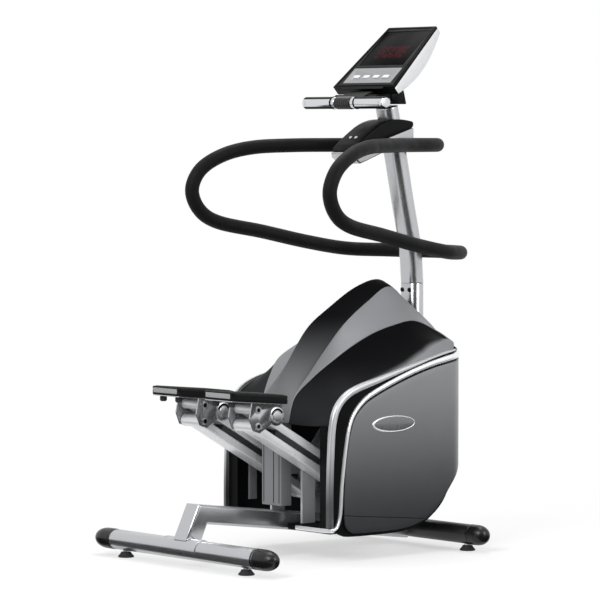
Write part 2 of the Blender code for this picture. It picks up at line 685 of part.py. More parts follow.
def build_bracket(side, sign):
    """Two side plates, the sheet seat under the pedal and two hollow pins, welded up."""
    front = -0.284
    seat = [(PEDAL_REAR_Y + 0.002, pedal_under(PEDAL_REAR_Y + 0.002) - GAP),
            (PEDAL_REAR_Y + 0.002, pedal_under(PEDAL_REAR_Y + 0.002) - GAP - SEAT_T),
            (front, pedal_under(front) - GAP - SEAT_T), (front, pedal_under(front) - GAP)]
    centre = sign * ARM_X
    bracket = prism(f"pedal_bracket_{side}", seat, "X", centre - 0.060, centre + 0.060,
                    silver())
    top = -GAP - SEAT_T / 2
    plate = ((-0.402, pedal_under(-0.402) + top), (-0.412, 0.435), (-0.398, 0.400),
             (-0.374, 0.392), (-0.350, 0.405), (-0.318, 0.424), (-0.292, 0.445),
             (-0.287, pedal_under(-0.287) + top))
    for tag, offset in (("inner", -PLATE_X), ("outer", PLATE_X)):
        x = centre + sign * offset
        plate_obj = prism(f"{tag}_plate_{side}", plate, "X", x - PLATE_T / 2, x + PLATE_T / 2,
                          silver())
        join(bracket, plate_obj)
    reach = PLATE_X + PLATE_T / 2
    for tag, z in (("upper", PEDAL_PIVOT_Z), ("lower", PEDAL_PIVOT_Z - PIVOT_DROP)):
        pin = rod(f"{tag}_pin_{side}", (PEDAL_PIVOT_Y, z), PIN_R, "X", centre - reach,
                  centre + reach, silver(), 16)
        join(bracket, pin)
    for tag, z in (("upper", PEDAL_PIVOT_Z), ("lower", PEDAL_PIVOT_Z - PIVOT_DROP)):
        bore = rod(f"{tag}_pin_bore_{side}", (PEDAL_PIVOT_Y, z), PIN_BORE_R, "X",
                   centre - 0.1, centre + 0.1, silver(), 16)
        cut(bracket, bore)
    put_origin(bracket, (centre, PEDAL_PIVOT_Y, PEDAL_PIVOT_Z))


def build_pedal(side, sign):
    """Foot plate with rounded edges, nose slightly down."""
    centre = sign * ARM_X
    outline = rounded_section(PEDAL_HALF_W, (PEDAL_FRONT_Y - PEDAL_REAR_Y) / 2, 0.014, 3)
    middle = (PEDAL_FRONT_Y + PEDAL_REAR_Y) / 2
    bm = bmesh.new()
    rings = []
    for inset, height in ((0.0015, 0.0), (0.0, 0.0015), (0.0, PEDAL_T - 0.0025),
                          (0.0025, PEDAL_T)):
        ring = []
        for x, y in outline:
            scale_x = (PEDAL_HALF_W - inset) / PEDAL_HALF_W
            y = middle + y * scale_x
            ring.append(bm.verts.new((centre + x * scale_x, y, pedal_under(y) + height)))
        rings.append(ring)
    join_rings(bm, rings, closed=True)
    bm.faces.new(rings[0])
    bm.faces.new(rings[-1])
    pedal = make_object(f"pedal_{side}", bm, black(), 40)
    put_origin(pedal, (centre, PEDAL_PIVOT_Y, PEDAL_PIVOT_Z))


# ---------------------------------------------------------------- drive
def build_uprights():
    """Welded side plates that carry the cross shafts, with a flange on the beam."""
    for side, sign in SIDES:
        low, high = sorted((sign * UPRIGHT_X[0], sign * UPRIGHT_X[1]))
        plate = prism(f"frame_upright_{side}", UPRIGHT_OUTLINE, "X", low, high, silver())
        for tag, y0, y1 in (("rear", -0.125, -0.075), ("front", 0.0, 0.238)):
            x0, x1 = sorted((sign * (BEAM_HALF_W + GAP), sign * (UPRIGHT_X[0] + 0.002)))
            flange = prism(f"{tag}_flange_{side}", box_outline((x0, y0), (x1, y1)), "Z",
                           *FLANGE_Z, silver())
            join(plate, flange)
        holes = ((FRAME_PIVOT_Y, FRAME_PIVOT_Z, PIN_R), (SHAFT_Y, SHAFT_Z, SHAFT_R),
                 (FRAME_PIVOT_Y, FRAME_PIVOT_Z - PIVOT_DROP, PIN_R),
                 (FLYWHEEL_Y, FLYWHEEL_Z, PIN_R))
        for i, (y, z, radius) in enumerate(holes):
            cut(plate, rod(f"upright_hole_{i}_{side}", (y, z), radius + RUN, "X", low - 0.01,
                           high + 0.01, silver(), 16))


def build_pivot_shafts():
    for tag, drop in (("upper", 0.0), ("lower", PIVOT_DROP)):
        rod(f"pivot_shaft_{tag}", (FRAME_PIVOT_Y, FRAME_PIVOT_Z - drop), PIN_R, "X", -0.178,
            0.178, steel(), 16)


def build_drive():
    centre = (SHAFT_Y, SHAFT_Z)
    shaft = rod("drive_shaft", centre, SHAFT_R, "X", -0.112, 0.112, steel(), 16)
    put_origin(shaft, (0.0, *centre))
    profile = [(SHAFT_R + GAP, BELT_X[0]), (PULLEY_R, BELT_X[0]), (PULLEY_R, BELT_X[1]),
               (SHAFT_R + GAP, BELT_X[1])]
    pulley = ring_body("drive_pulley", profile, centre, black(), 28)
    put_origin(pulley, (0.0, *centre))
    for side, sign in SIDES:
        profile = [(SHAFT_R + RUN, 0.080), (DRUM_R + 0.004, 0.080), (DRUM_R + 0.004, 0.083),
                   (DRUM_R, 0.083), (DRUM_R, 0.099), (DRUM_R + 0.004, 0.099),
                   (DRUM_R + 0.004, 0.102), (SHAFT_R + RUN, 0.102)]
        profile = [(radius, sign * along) for radius, along in profile]
        drum = ring_body(f"strap_drum_{side}", profile, centre, steel(), 14)
        put_origin(drum, (0.0, *centre))
    build_flywheel()
    build_belt()


def ring_body(name, profile, centre, mat, steps):
    """A profile turned all the way round, closed through its bore."""
    bm = bmesh.new()
    rings = [[bm.verts.new((along, y, z)) for y, z in circle(centre, radius, steps)]
             for radius, along in profile]
    join_rings(bm, rings + [rings[0]], closed=True)
    return make_object(name, bm, mat, 40)


def build_flywheel():
    """Axle, rim and small pulley turned in one piece."""
    low, high = FLYWHEEL_X
    profile = [(PIN_R, -0.078), (PIN_R, low), (0.030, low), (0.030, low + 0.005),
               (FLYWHEEL_R - 0.018, low + 0.005), (FLYWHEEL_R - 0.018, low), (FLYWHEEL_R, low),
               (FLYWHEEL_R, high), (FLYWHEEL_R - 0.018, high), (FLYWHEEL_R - 0.018, high - 0.005),
               (0.030, high - 0.005), (0.030, high), (PIN_R, high), (PIN_R, BELT_X[0]),
               (SMALL_PULLEY_R, BELT_X[0]), (SMALL_PULLEY_R, BELT_X[1]), (PIN_R, BELT_X[1]),
               (PIN_R, 0.078)]
    wheel = turned("flywheel", profile, (FLYWHEEL_Y, FLYWHEEL_Z), "X", iron(), 20)
    put_origin(wheel, (0.0, FLYWHEEL_Y, FLYWHEEL_Z))


def belt_outline(extra, steps=16):
    """Outline of a belt round both pulleys, at a distance from their rims."""
    big = Vector((SHAFT_Y, SHAFT_Z))
    small = Vector((FLYWHEEL_Y, FLYWHEEL_Z))
    line = small - big
    base = atan2(line.y, line.x)
    spread = pi / 2 - (PULLEY_R - SMALL_PULLEY_R) / line.length
    points = []
    for centre, radius, start, sweep in (
            (big, PULLEY_R + extra, base + spread, 2 * pi - 2 * spread),
            (small, SMALL_PULLEY_R + extra, base - spread, 2 * spread)):
        for i in range(steps + 1):
            angle = start + sweep * i / steps
            points.append((centre.x + radius * cos(angle), centre.y + radius * sin(angle)))
    return points


def build_belt():
    low, high = BELT_X
    belt = prism("drive_belt", belt_outline(BELT_T + 0.0013), "X", low + 0.001, high - 0.001,
                 foam())
    inner = prism("belt_inside", belt_outline(0.0013), "X", low - 0.01, high + 0.01, foam())
    cut(belt, inner)


def build_springs():
    """Coil springs on the upper cross shaft that bring the pedals back up."""
    steps = 9
    count = SPRING_TURNS * steps
    for side, sign in SIDES:
        line = []
        for i in range(count + 1):
            angle = 2 * pi * i / steps
            x = sign * (0.042 + 0.020 * i / count)
            line.append(Vector((x, FRAME_PIVOT_Y + SPRING_R * cos(angle),
                                FRAME_PIVOT_Z + SPRING_R * sin(angle))))
        section = circle((0.0, 0.0), SPRING_WIRE_R, 5)
        swept(f"return_spring_{side}", line, section, steel(), (1, 0, 0), smooth=60)


# ---------------------------------------------------------------- shroud
def offset_plan(points, distance):
    """Move an open plan line inwards by a distance."""
    points = [Vector(p) for p in points]
    moved = []
    for i, point in enumerate(points):
        before = points[max(i - 1, 0)]
        after = points[min(i + 1, len(points) - 1)]
        first = (point - before).normalized() if i > 0 else (after - point).normalized()
        last = (after - point).normalized() if i < len(points) - 1 else first
        normal_a = Vector((-first.y, first.x))
        normal_b = Vector((-last.y, last.x))
        middle = (normal_a + normal_b).normalized()
        moved.append(point + middle * distance / max(middle.dot(normal_a), 0.3))
    return moved


def build_side_covers():
    """Left and right shells: rear lip, side wall and half of the rounded nose."""
    outer = [Vector(p) for p in COVER_PLAN]
    inner = offset_plan(COVER_PLAN, WALL)
    inner[-1].x = 0.0
    for side, sign in SIDES:
        plan = [(sign * max(p.x, GAP / 2), p.y) for p in outer]
        plan += [(sign * max(p.x, GAP / 2), p.y) for p in reversed(inner)]
        cover = prism(f"side_cover_{side}", plan, "Z", 0.06, 0.66, graphite())
        low, high = sorted((sign * -0.01, sign * 0.26))
        boolean(cover, prism(f"cover_side_shape_{side}", COVER_SIDE, "X", low, high,
                             graphite()), "INTERSECT")
        low, high = sorted((sign * PANEL_X[0], sign * PANEL_X[1]))
        prism(f"side_panel_{side}", PANEL_SIDE, "X", low, high, graphite())


def build_hood():
    """Moulded top of the shroud, one shell from side cover to side cover."""
    bm = bmesh.new()
    rows = []
    for station in HOOD:
        half = [Vector(p) for p in station]
        left = [Vector((-p.x, p.y, p.z)) for p in reversed(half[1:])]
        rows.append([bm.verts.new(p) for p in left + half])
    join_rings(bm, rows, closed=False)
    hood = make_object("hood", bm, graphite(), 25)
    shell = hood.modifiers.new("shell", "SOLIDIFY")
    shell.thickness = 0.0035
    shell.offset = -1.0
    shell.use_even_offset = False
    tool = swept("hood_mast_hole", [Vector((0.0, 0.386, 0.55)), Vector((0.0, 0.386, 0.80))],
                 rounded_section(MAST_HALF_W + 0.002, MAST_HALF_D + 0.002, 0.014), silver(),
                 (1, 0, 0))
    cut(hood, tool)


def build_rear_column():
    """Channel-shaped cover between the two arm slots."""
    w, t = COLUMN_HALF_W, 0.003
    rear, front = COLUMN_Y
    plan = ((-w, front), (-w, rear), (w, rear), (w, front), (w - t, front), (w - t, rear + t),
            (-w + t, rear + t), (-w + t, front))
    prism("rear_column_cover", plan, "Z", *COLUMN_Z, graphite())


def build_all():
    clear_scene()
    build_stabilizer("rear", REAR_Y, REAR_HALF, REAR_CAP, silver(), graphite())
    build_stabilizer("front", FRONT_Y, FRONT_HALF, FRONT_CAP, black(), graphite())
    build_beam()
    build_saddle()
    build_mast()
    build_handrail()
    build_rail_cover()
    build_console()
    build_pulse_bar()
    for side, sign in SIDES:
        build_arm("upper", side, sign, 0.0, UPPER_BOSS_R)
        build_arm("lower", side, sign, PIVOT_DROP, LOWER_BOSS_R)
        build_bracket(side, sign)
        build_pedal(side, sign)
    build_uprights()
    build_pivot_shafts()
    build_drive()
    build_springs()
    build_side_covers()
    build_hood()
    build_rear_column()


build_all()
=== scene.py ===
"""Finished surfaces of a stair climber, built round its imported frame.

Units are metres. +X is the user's right, +Y the way the user faces, +Z is up.
"""
import json
from math import atan2, cos, pi, radians, sin

import bpy
from mathutils import Matrix, Vector


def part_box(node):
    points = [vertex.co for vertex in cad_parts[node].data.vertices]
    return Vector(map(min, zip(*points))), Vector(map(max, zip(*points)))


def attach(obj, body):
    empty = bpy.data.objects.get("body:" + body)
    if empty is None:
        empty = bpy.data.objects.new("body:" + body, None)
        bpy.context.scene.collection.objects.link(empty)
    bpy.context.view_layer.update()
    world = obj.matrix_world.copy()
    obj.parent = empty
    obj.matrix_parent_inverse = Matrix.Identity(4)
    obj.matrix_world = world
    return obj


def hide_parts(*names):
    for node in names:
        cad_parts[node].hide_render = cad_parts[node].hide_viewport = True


bl_info = {
    "name": "Stair climber surfaces",
    "version": (1, 0, 0),
    "blender": (4, 5, 0),
    "location": "3D View > Sidebar > Climber",
    "description": "Builds the finished surfaces of a stair climber round its packed frame",
    "category": "Object",
}

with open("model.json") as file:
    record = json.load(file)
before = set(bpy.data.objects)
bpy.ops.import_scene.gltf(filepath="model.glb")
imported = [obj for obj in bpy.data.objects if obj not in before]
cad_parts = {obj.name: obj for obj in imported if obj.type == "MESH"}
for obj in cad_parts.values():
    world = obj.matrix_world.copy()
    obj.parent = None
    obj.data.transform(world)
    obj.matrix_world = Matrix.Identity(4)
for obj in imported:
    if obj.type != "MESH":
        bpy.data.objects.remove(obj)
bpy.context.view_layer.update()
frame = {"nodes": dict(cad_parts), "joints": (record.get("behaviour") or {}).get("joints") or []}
MM = 0.001
SIDES = (("left", -1), ("right", 1))


# ---------------------------------------------------------------- places read from the frame
def low(node):
    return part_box(node)[0]


def high(node):
    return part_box(node)[1]


def middle(node):
    return (low(node) + high(node)) / 2


def joint_place(name):
    """The point on a joint's axis, at rest."""
    return Vector(next(j for j in frame["joints"] if j["name"] == name)["pos_m"])


TUBE_R = (high("rear_stabilizer").z - low("rear_stabilizer").z) / 2
TUBE_Z = middle("rear_stabilizer").z
MAST_HALF_W = high("mast").x
MAST_JOINT_Z = low("mast").z
PEDAL_X = middle("pedal_right").x
CONSOLE_TILT = radians(42.3)


# ---------------------------------------------------------------- sizes and colours a user may change
def size(label, text, value):
    return bpy.props.FloatProperty(name=label, description=text, default=value, min=0.0,
                                   unit="LENGTH", precision=4)


def linear(code):
    """An sRGB hex colour as linear red, green, blue and alpha."""
    channels = [int(code[i:i + 2], 16) / 255 for i in (1, 3, 5)]
    return (*(c / 12.92 if c <= 0.04045 else ((c + 0.055) / 1.055) ** 2.4 for c in channels), 1.0)


def colour(label, text, code):
    return bpy.props.FloatVectorProperty(name=label, description=text, subtype="COLOR", size=4,
                                         default=linear(code), min=0.0, max=1.0)


class ClimberSizes(bpy.types.PropertyGroup):
    """Sizes of details that the frame leaves plain."""
    grip_radius: size("Grip radius", "Outer radius of the foam rail", 0.0215)
    tread_pitch: size("Tread pitch", "Distance between ribs on the pedals", 0.0085)
    trim_height: size("Trim height", "How far the bright trim stands off the side", 0.0045)
    shell_wall: size("Shell wall", "Wall of the shroud's mouldings", 0.0030)
    weld_bead: size("Weld bead", "Radius of the weld beads on the base", 0.0035)


class ClimberColours(bpy.types.PropertyGroup):
    """Colours of the main finishes."""
    silver: colour("Silver", "Silver powder coat of the steel frame", "#BFC0C3")
    graphite: colour("Graphite", "Metallic paint of the shroud", "#8A8B8E")
    # painted shade: the graphite's darker colour low down on the shroud
    graphite_shade_colour: colour("Graphite, low", "The shroud's paint towards the floor", "#333436")
    gloss_black: colour("Gloss black", "Inlaid bands of the shroud", "#08080A")
    foam: colour("Foam", "Foam of the rail", "#111112")
    moulded_black: colour("Moulded black", "Console, lid and small mouldings", "#0B0B0C")
    trim: colour("Trim", "Bright trim of the shroud", "#F2F3F5")
    tread: colour("Tread", "Rubber of the pedals", "#141415")


# ---------------------------------------------------------------- small tools
def only(obj):
    bpy.ops.object.select_all(action="DESELECT")
    obj.select_set(True)
    bpy.context.view_layer.objects.active = obj
    return obj


def modify(obj, kind, **settings):
    """Adds a modifier and applies it."""
    only(obj)
    modifier = obj.modifiers.new(kind.lower(), kind)
    for key, value in settings.items():
        setattr(modifier, key, value)
    bpy.ops.object.modifier_apply(modifier=modifier.name)
    return obj


def rounded(obj, width, segments=3, angle=30):
    return modify(obj, "BEVEL", width=width, segments=segments, limit_method="ANGLE",
                  angle_limit=radians(angle), harden_normals=False)


def edit(obj, element, test, *steps):
    """Runs edit mode steps on the vertices, edges or faces that pass a test."""
    only(obj)
    mesh = obj.data
    for group in (mesh.vertices, mesh.edges, mesh.polygons):
        group.foreach_set("select", [False] * len(group))
    kinds = {"VERT": mesh.vertices, "EDGE": mesh.edges, "FACE": mesh.polygons}
    bpy.context.tool_settings.mesh_select_mode = [element == kind for kind in kinds]
    for item in kinds[element]:
        item.select = test(item)
    bpy.ops.object.mode_set(mode="EDIT")
    for step in steps:
        step()
    bpy.ops.object.mode_set(mode="OBJECT")
    return obj


def everything(_item):
    return True


def point_out(obj):
    return edit(obj, "FACE", everything,
                lambda: bpy.ops.mesh.normals_make_consistent(inside=False))


def apply_place(obj):
    only(obj)
    bpy.ops.object.transform_apply(location=True, rotation=True, scale=True)
    return obj


def joined(pieces):
    """Joins pieces into the first of them."""
    bpy.ops.object.select_all(action="DESELECT")
    for piece in pieces:
        piece.select_set(True)
    bpy.context.view_layer.objects.active = pieces[0]
    bpy.ops.object.join()
    return bpy.context.view_layer.objects.active


def paint(obj, finish):
    obj.data.materials.clear()
    obj.data.materials.append(finish)
    return obj


def settle(obj, name, body="frame", stands_for=(), soft_below=35):
    """Finishes a piece: applies its place, smooths it, names it and ties it to the frame."""
    apply_place(obj)
    bpy.ops.object.shade_smooth_by_angle(angle=radians(soft_below))
    obj.name = obj.data.name = name
    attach(obj, body)
    if stands_for:
        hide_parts(*stands_for)
    return obj


def block(size_xyz, centre, turn=(0.0, 0.0, 0.0)):
    """A box of a given size, to be shaped further."""
    bpy.ops.mesh.primitive_cube_add(size=1, location=centre, rotation=turn)
    obj = bpy.context.object
    obj.scale = size_xyz
    only(obj)
    bpy.ops.object.transform_apply(location=False, rotation=False, scale=True)
    return obj


def between(corner, opposite):
    """A box between two corners."""
    corner, opposite = Vector(corner), Vector(opposite)
    return block([abs(a - b) for a, b in zip(corner, opposite)], (corner + opposite) / 2)


AXIS_TURN = {"X": (0.0, pi / 2, 0.0), "Y": (-pi / 2, 0.0, 0.0), "Z": (0.0, 0.0, 0.0)}


def turned(profile, centre, axis="Z", flip=False, steps=48):
    """A turned piece: a disc extruded and resized from one (radius, height) to the next."""
    bpy.ops.mesh.primitive_circle_add(vertices=steps, radius=profile[0][0], fill_type="NGON",
                                      location=(0.0, 0.0, profile[0][1]))
    obj = apply_place(bpy.context.object)
    edit(obj, "FACE", everything)
    bpy.ops.object.mode_set(mode="EDIT")
    bpy.ops.mesh.select_all(action="SELECT")
    for (r0, z0), (r1, z1) in zip(profile, profile[1:]):
        bpy.ops.mesh.extrude_region_move(TRANSFORM_OT_translate={"value": (0, 0, z1 - z0)})
        share = r1 / r0
        bpy.ops.transform.resize(value=(share, share, 1.0))
    bpy.ops.object.mode_set(mode="OBJECT")
    obj.rotation_euler = AXIS_TURN[axis]
    apply_place(obj)
    if flip:
        index = "XYZ".index(axis)
        for vertex in obj.data.vertices:
            vertex.co[index] *= -1
    obj.location = centre
    apply_place(obj)
    return point_out(obj)


def prism(outline, left, right):
    """A flat outline of (Y, Z) points extruded along X."""
    bpy.ops.mesh.primitive_circle_add(vertices=len(outline), radius=1.0, fill_type="NGON")
    obj = bpy.context.object
    for vertex, (y, z) in zip(obj.data.vertices, outline):
        vertex.co = (left, y, z)
    step = (right - left, 0.0, 0.0)
    edit(obj, "FACE", everything,
         lambda: bpy.ops.mesh.extrude_region_move(TRANSFORM_OT_translate={"value": step}))
    return point_out(obj)


def skin(rows, ring=False, capped=False):
    """A grid laid over rows of points; ring closes each row, capped fills the two ends."""
    across = len(rows[0]) + (1 if ring else 0)
    bpy.ops.mesh.primitive_grid_add(x_subdivisions=across - 1, y_subdivisions=len(rows) - 1,
                                    size=1)
    obj = bpy.context.object
    points = [row[i % len(row)] for row in rows for i in range(across)]
    for vertex, point in zip(obj.data.vertices, points):
        vertex.co = point
    edit(obj, "VERT", everything, lambda: bpy.ops.mesh.remove_doubles(threshold=0.00001))
    if capped:
        edit(obj, "VERT", everything, lambda: bpy.ops.mesh.fill_holes(sides=0))
    return point_out(obj)


def smooth_line(points, steps):
    """Points on a smooth curve through the given ones."""
    points = [Vector(p) for p in points]
    ends = [2 * points[0] - points[1]] + points + [2 * points[-1] - points[-2]]
    line = []
    for i in range(1, len(ends) - 2):
        a, b, c, d = ends[i - 1:i + 3]
        for k in range(steps):
            t = k / steps
            line.append(0.5 * (2 * b + (c - a) * t + (2 * a - 5 * b + 4 * c - d) * t ** 2
                               + (3 * b - a - 3 * c + d) * t ** 3))
    return line + [points[-1]]


def round_section(radius, steps=24):
    return [(radius * cos(2 * pi * i / steps), radius * sin(2 * pi * i / steps))
            for i in range(steps)]


def box_section(half_w, half_h, radius, steps=5):
    """A rectangle with round corners."""
    section = []
    for sx, sy, start in ((1, 1, 0), (-1, 1, 90), (-1, -1, 180), (1, -1, 270)):
        for i in range(steps + 1):
            angle = radians(start + 90 * i / steps)
            section.append((sx * (half_w - radius) + radius * cos(angle),
                            sy * (half_h - radius) + radius * sin(angle)))
    return section


def swept(line, section, side):
    """A section carried along a line, square to it."""
    rows = []
    side = Vector(side)
    for i, point in enumerate(line):
        ahead = (line[min(i + 1, len(line) - 1)] - line[max(i - 1, 0)]).normalized()
        side = (side - side.dot(ahead) * ahead).normalized()
        up = side.cross(ahead)
        rows.append([point + (side * x + up * y) for x, y in section])
    return skin(rows, ring=True, capped=True)


def refined(node, width, segments=2):
    """A copy of a frame part with its triangles merged into faces and its edges rounded."""
    source = frame["nodes"][node]
    obj = source.copy()
    obj.data = source.data.copy()
    obj.parent = None
    for key in list(obj.keys()):
        del obj[key]
    bpy.context.scene.collection.objects.link(obj)
    edit(obj, "VERT", everything, lambda: bpy.ops.mesh.remove_doubles(threshold=0.00001),
         lambda: bpy.ops.mesh.dissolve_limited(angle_limit=radians(1)))
    return rounded(obj, width, segments, 25)


# ---------------------------------------------------------------- finishes
def add_node(material, kind, links=(), **settings):
    """Adds a shader node with its settings and with (input, value or output socket) pairs."""
    node = material.node_tree.nodes.new(kind)
    for key, value in settings.items():
        setattr(node, key, value)
    for key, value in links:
        if isinstance(value, bpy.types.NodeSocket):
            material.node_tree.links.new(value, node.inputs[key])
        else:
            node.inputs[key].default_value = value
    return node


def new_finish(name, base, **sockets):
    """A material whose shader has its plain values set; returns it, its shader and a place."""
    material = bpy.data.materials.new(name)
    material.use_nodes = True
    shader = material.node_tree.nodes["Principled BSDF"]
    shader.inputs["Base Color"].default_value = base
    for key, value in sockets.items():
        shader.inputs[key.replace("_", " ")].default_value = value
    place = add_node(material, "ShaderNodeTexCoord").outputs["Object"]
    return material, shader, place


def link(material, output, shader, key):
    material.node_tree.links.new(output, shader.inputs[key])


def darker(base, share):
    return (*(c * share for c in base[:3]), 1.0)


def vary(material, shader, place, base, share, size_mm, detail=3.0):
    """Varies the colour by a small share over patches of a real size; returns the colour."""
    noise = add_node(material, "ShaderNodeTexNoise",
                     [("Vector", place), ("Scale", 1000 / size_mm), ("Detail", detail)])
    mix = add_node(material, "ShaderNodeMix", [("Factor", noise.outputs["Fac"])],
                   data_type="RGBA")
    if isinstance(base, bpy.types.NodeSocket):
        shade = add_node(material, "ShaderNodeMix", [("Factor", share)], data_type="RGBA",
                         blend_type="MULTIPLY")
        material.node_tree.links.new(base, shade.inputs[6])
        shade.inputs[7].default_value = (0.0, 0.0, 0.0, 1.0)
        material.node_tree.links.new(shade.outputs[2], mix.inputs[6])
        material.node_tree.links.new(base, mix.inputs[7])
    else:
        mix.inputs[6].default_value = darker(base, 1 - share)
        mix.inputs[7].default_value = base
    link(material, mix.outputs[2], shader, "Base Color")
    return mix.outputs[2]


def relief(material, shader, place, size_mm, depth_mm, kind="ShaderNodeTexNoise", output="Fac"):
    """Fine relief of a real size and depth, as moulding, coating or foam leaves."""
    texture = add_node(material, kind, [("Vector", place), ("Scale", 1000 / size_mm)])
    bump = add_node(material, "ShaderNodeBump", [("Height", texture.outputs[output]),
                                                 ("Distance", depth_mm * MM), ("Strength", 1.0)])
    link(material, bump.outputs["Normal"], shader, "Normal")
    return texture


def uneven_gloss(material, shader, place, low_value, high_value, size_mm):
    """Roughness that wanders between two values, as handled surfaces have."""
    noise = add_node(material, "ShaderNodeTexNoise",
                     [("Vector", place), ("Scale", 1000 / size_mm), ("Detail", 4.0)])
    spread = add_node(material, "ShaderNodeMapRange",
                      [("Value", noise.outputs["Fac"]), ("From Min", 0.3), ("From Max", 0.7),
                       ("To Min", low_value), ("To Max", high_value)])
    link(material, spread.outputs["Result"], shader, "Roughness")


def fade(material, place, low_colour, high_colour, low_z, high_z):
    """A colour that changes with height; the finishes use it for painted shade and painted light."""
    split = add_node(material, "ShaderNodeSeparateXYZ", [("Vector", place)])
    share = add_node(material, "ShaderNodeMapRange",
                     [("Value", split.outputs["Z"]), ("From Min", low_z), ("From Max", high_z)],
                     interpolation_type="SMOOTHSTEP")
    mix = add_node(material, "ShaderNodeMix", [("Factor", share.outputs["Result"])],
                   data_type="RGBA")
    mix.inputs[6].default_value = low_colour
    mix.inputs[7].default_value = high_colour
    return mix.outputs[2]


def finished(name, base, patches, gloss, grain=None, **sockets):
    """A finish of the usual make: colour in patches, gloss that wanders and fine relief.

    patches is (share, size in mm), gloss (lowest, highest, size in mm) and grain (size, depth)
    in mm; sockets are the shader's own values.
    """
    material, shader, place = new_finish(name, base, **sockets)
    vary(material, shader, place, base, *patches)
    uneven_gloss(material, shader, place, *gloss)
    if grain:
        relief(material, shader, place, *grain)
    return material


def cached(make):
    """Makes each finish once."""
    def finish():
        name = make.__name__
        return bpy.data.materials.get(name) or make(name)
    return finish


def colours():
    return bpy.context.scene.climber_colours


@cached
def silver_powder_coat(name):
    """Silver metallic powder coat on steel: a soft sheen with fine flake and orange peel."""
    return finished(name, tuple(colours().silver), (0.10, 1.6), (0.20, 0.28, 60), (5.0, 0.02),
                    Metallic=0.9, Coat_Weight=0.1, Coat_Roughness=0.2)


@cached
def graphite_flake_paint(name):
    """Graphite metallic paint on moulded ABS with fine flake, painted darker towards the floor: painted
    shade.
    """
    material, shader, place = new_finish(name, tuple(colours().graphite), Metallic=0.35,
                                         Coat_Weight=0.15, Coat_Roughness=0.3)
    # painted shade: the paint darkens from the top towards the floor
    base = fade(material, place, tuple(colours().graphite_shade_colour), tuple(colours().graphite),
                0.08, 0.60)
    vary(material, shader, place, base, 0.25, 1.4)
    uneven_gloss(material, shader, place, 0.36, 0.44, 80)
    relief(material, shader, place, 6.0, 0.04)
    return material


@cached
def graphite_painted_light(name):
    """A lighter copy of the shroud's graphite paint, a tone lighter, for mouldings that face up: painted
    light.
    """
    return finished(name, linear("#88898C"), (0.22, 1.4), (0.48, 0.58, 80), (6.0, 0.04),
                    Metallic=0.15, Specular_IOR_Level=0.25)


@cached
def gloss_black_band(name):
    """Piano-black lacquer band, painted greyer low down: painted light."""
    material, shader, place = new_finish(name, tuple(colours().gloss_black),
                                         Specular_IOR_Level=0.04)
    # painted light: the black turns grey towards the bottom
    base = fade(material, place, linear("#77787A"), tuple(colours().gloss_black), 0.44, 0.72)
    vary(material, shader, place, base, 0.15, 1.4)
    uneven_gloss(material, shader, place, 0.42, 0.52, 70)
    return material


@cached
def black_joints_and_painted_shade(name):
    """Matt black of the groove beside the trim, which light hardly reaches: painted shade, as are the black
    insides of the shell, the slot pans and the pin bores; the same black serves the dark seams and print.
    """
    base = linear("#080809")
    material, shader, place = new_finish(name, base, Roughness=0.6, Specular_IOR_Level=0.08)
    vary(material, shader, place, base, 0.3, 3.0)
    relief(material, shader, place, 0.9, 0.03)
    return material


@cached
def bright_trim(name):
    """Satin bright-anodised aluminium strip with faint drawing lines."""
    return finished(name, tuple(colours().trim), (0.04, 2.5), (0.22, 0.28, 30), Metallic=0.7)


@cached
def closed_cell_foam(name):
    """Black closed-cell foam: matt, finely pitted, a little grey where it is handled."""
    return finished(name, tuple(colours().foam), (0.55, 3.2, 5.0), (0.52, 0.70, 40), (1.6, 0.18),
                    Sheen_Weight=0.04, Sheen_Roughness=0.5, Specular_IOR_Level=0.10)


@cached
def textured_abs(name):
    """Black ABS moulded in a fine leather grain."""
    return finished(name, tuple(colours().moulded_black), (0.25, 8.0), (0.38, 0.50, 30),
                    (1.3, 0.05, "ShaderNodeTexVoronoi", "Distance"), Specular_IOR_Level=0.08)


@cached
def dark_cap_plastic(name):
    """Dark grey polypropylene of the end caps: satin, scuffed on its high spots."""
    return finished(name, linear("#161617"), (0.30, 9.0), (0.24, 0.36, 25), (2.0, 0.03),
                    Specular_IOR_Level=0.35)


@cached
def satin_black_enamel(name):
    """Black stoving enamel of the front floor tube."""
    return finished(name, linear("#131315"), (0.25, 12.0), (0.30, 0.42, 40), (5.0, 0.03),
                    Coat_Weight=0.2, Coat_Roughness=0.2)


@cached
def foot_rubber(name):
    """Black moulded rubber: matt and dusty."""
    return finished(name, linear("#1B1B1C"), (0.35, 6.0), (0.65, 0.80, 12), (1.2, 0.08),
                    Specular_IOR_Level=0.3)


@cached
def zinc_steel(name):
    """Zinc-plated steel of pins, screws and washers: cool, with a faint mottle."""
    return finished(name, linear("#C9CACC"), (0.18, 4.0), (0.25, 0.38, 8), Metallic=1.0)


@cached
def dark_screw(name):
    """Blackened steel screws."""
    return finished(name, linear("#0E0E10"), (0.2, 2.0), (0.35, 0.45, 5), Metallic=0.6)


@cached
def polished_contact(name):
    """Polished stainless steel of the pulse contacts, with faint turning lines."""
    base = linear("#D8D9DB")
    material, shader, place = new_finish(name, base, Metallic=1.0)
    lines = add_node(material, "ShaderNodeTexWave", [("Vector", place), ("Scale", 260.0),
                                                     ("Distortion", 0.4)], bands_direction="X")
    spread = add_node(material, "ShaderNodeMapRange",
                      [("Value", lines.outputs["Fac"]), ("To Min", 0.14), ("To Max", 0.22)])
    link(material, spread.outputs["Result"], shader, "Roughness")
    vary(material, shader, place, base, 0.06, 3.0)
    return material


@cached
def ribbed_rubber(name):
    """Black tread rubber, greyed by shoes on its high spots."""
    return finished(name, tuple(colours().tread), (0.35, 14.0), (0.45, 0.62, 18), (1.1, 0.06),
                    Specular_IOR_Level=0.12)


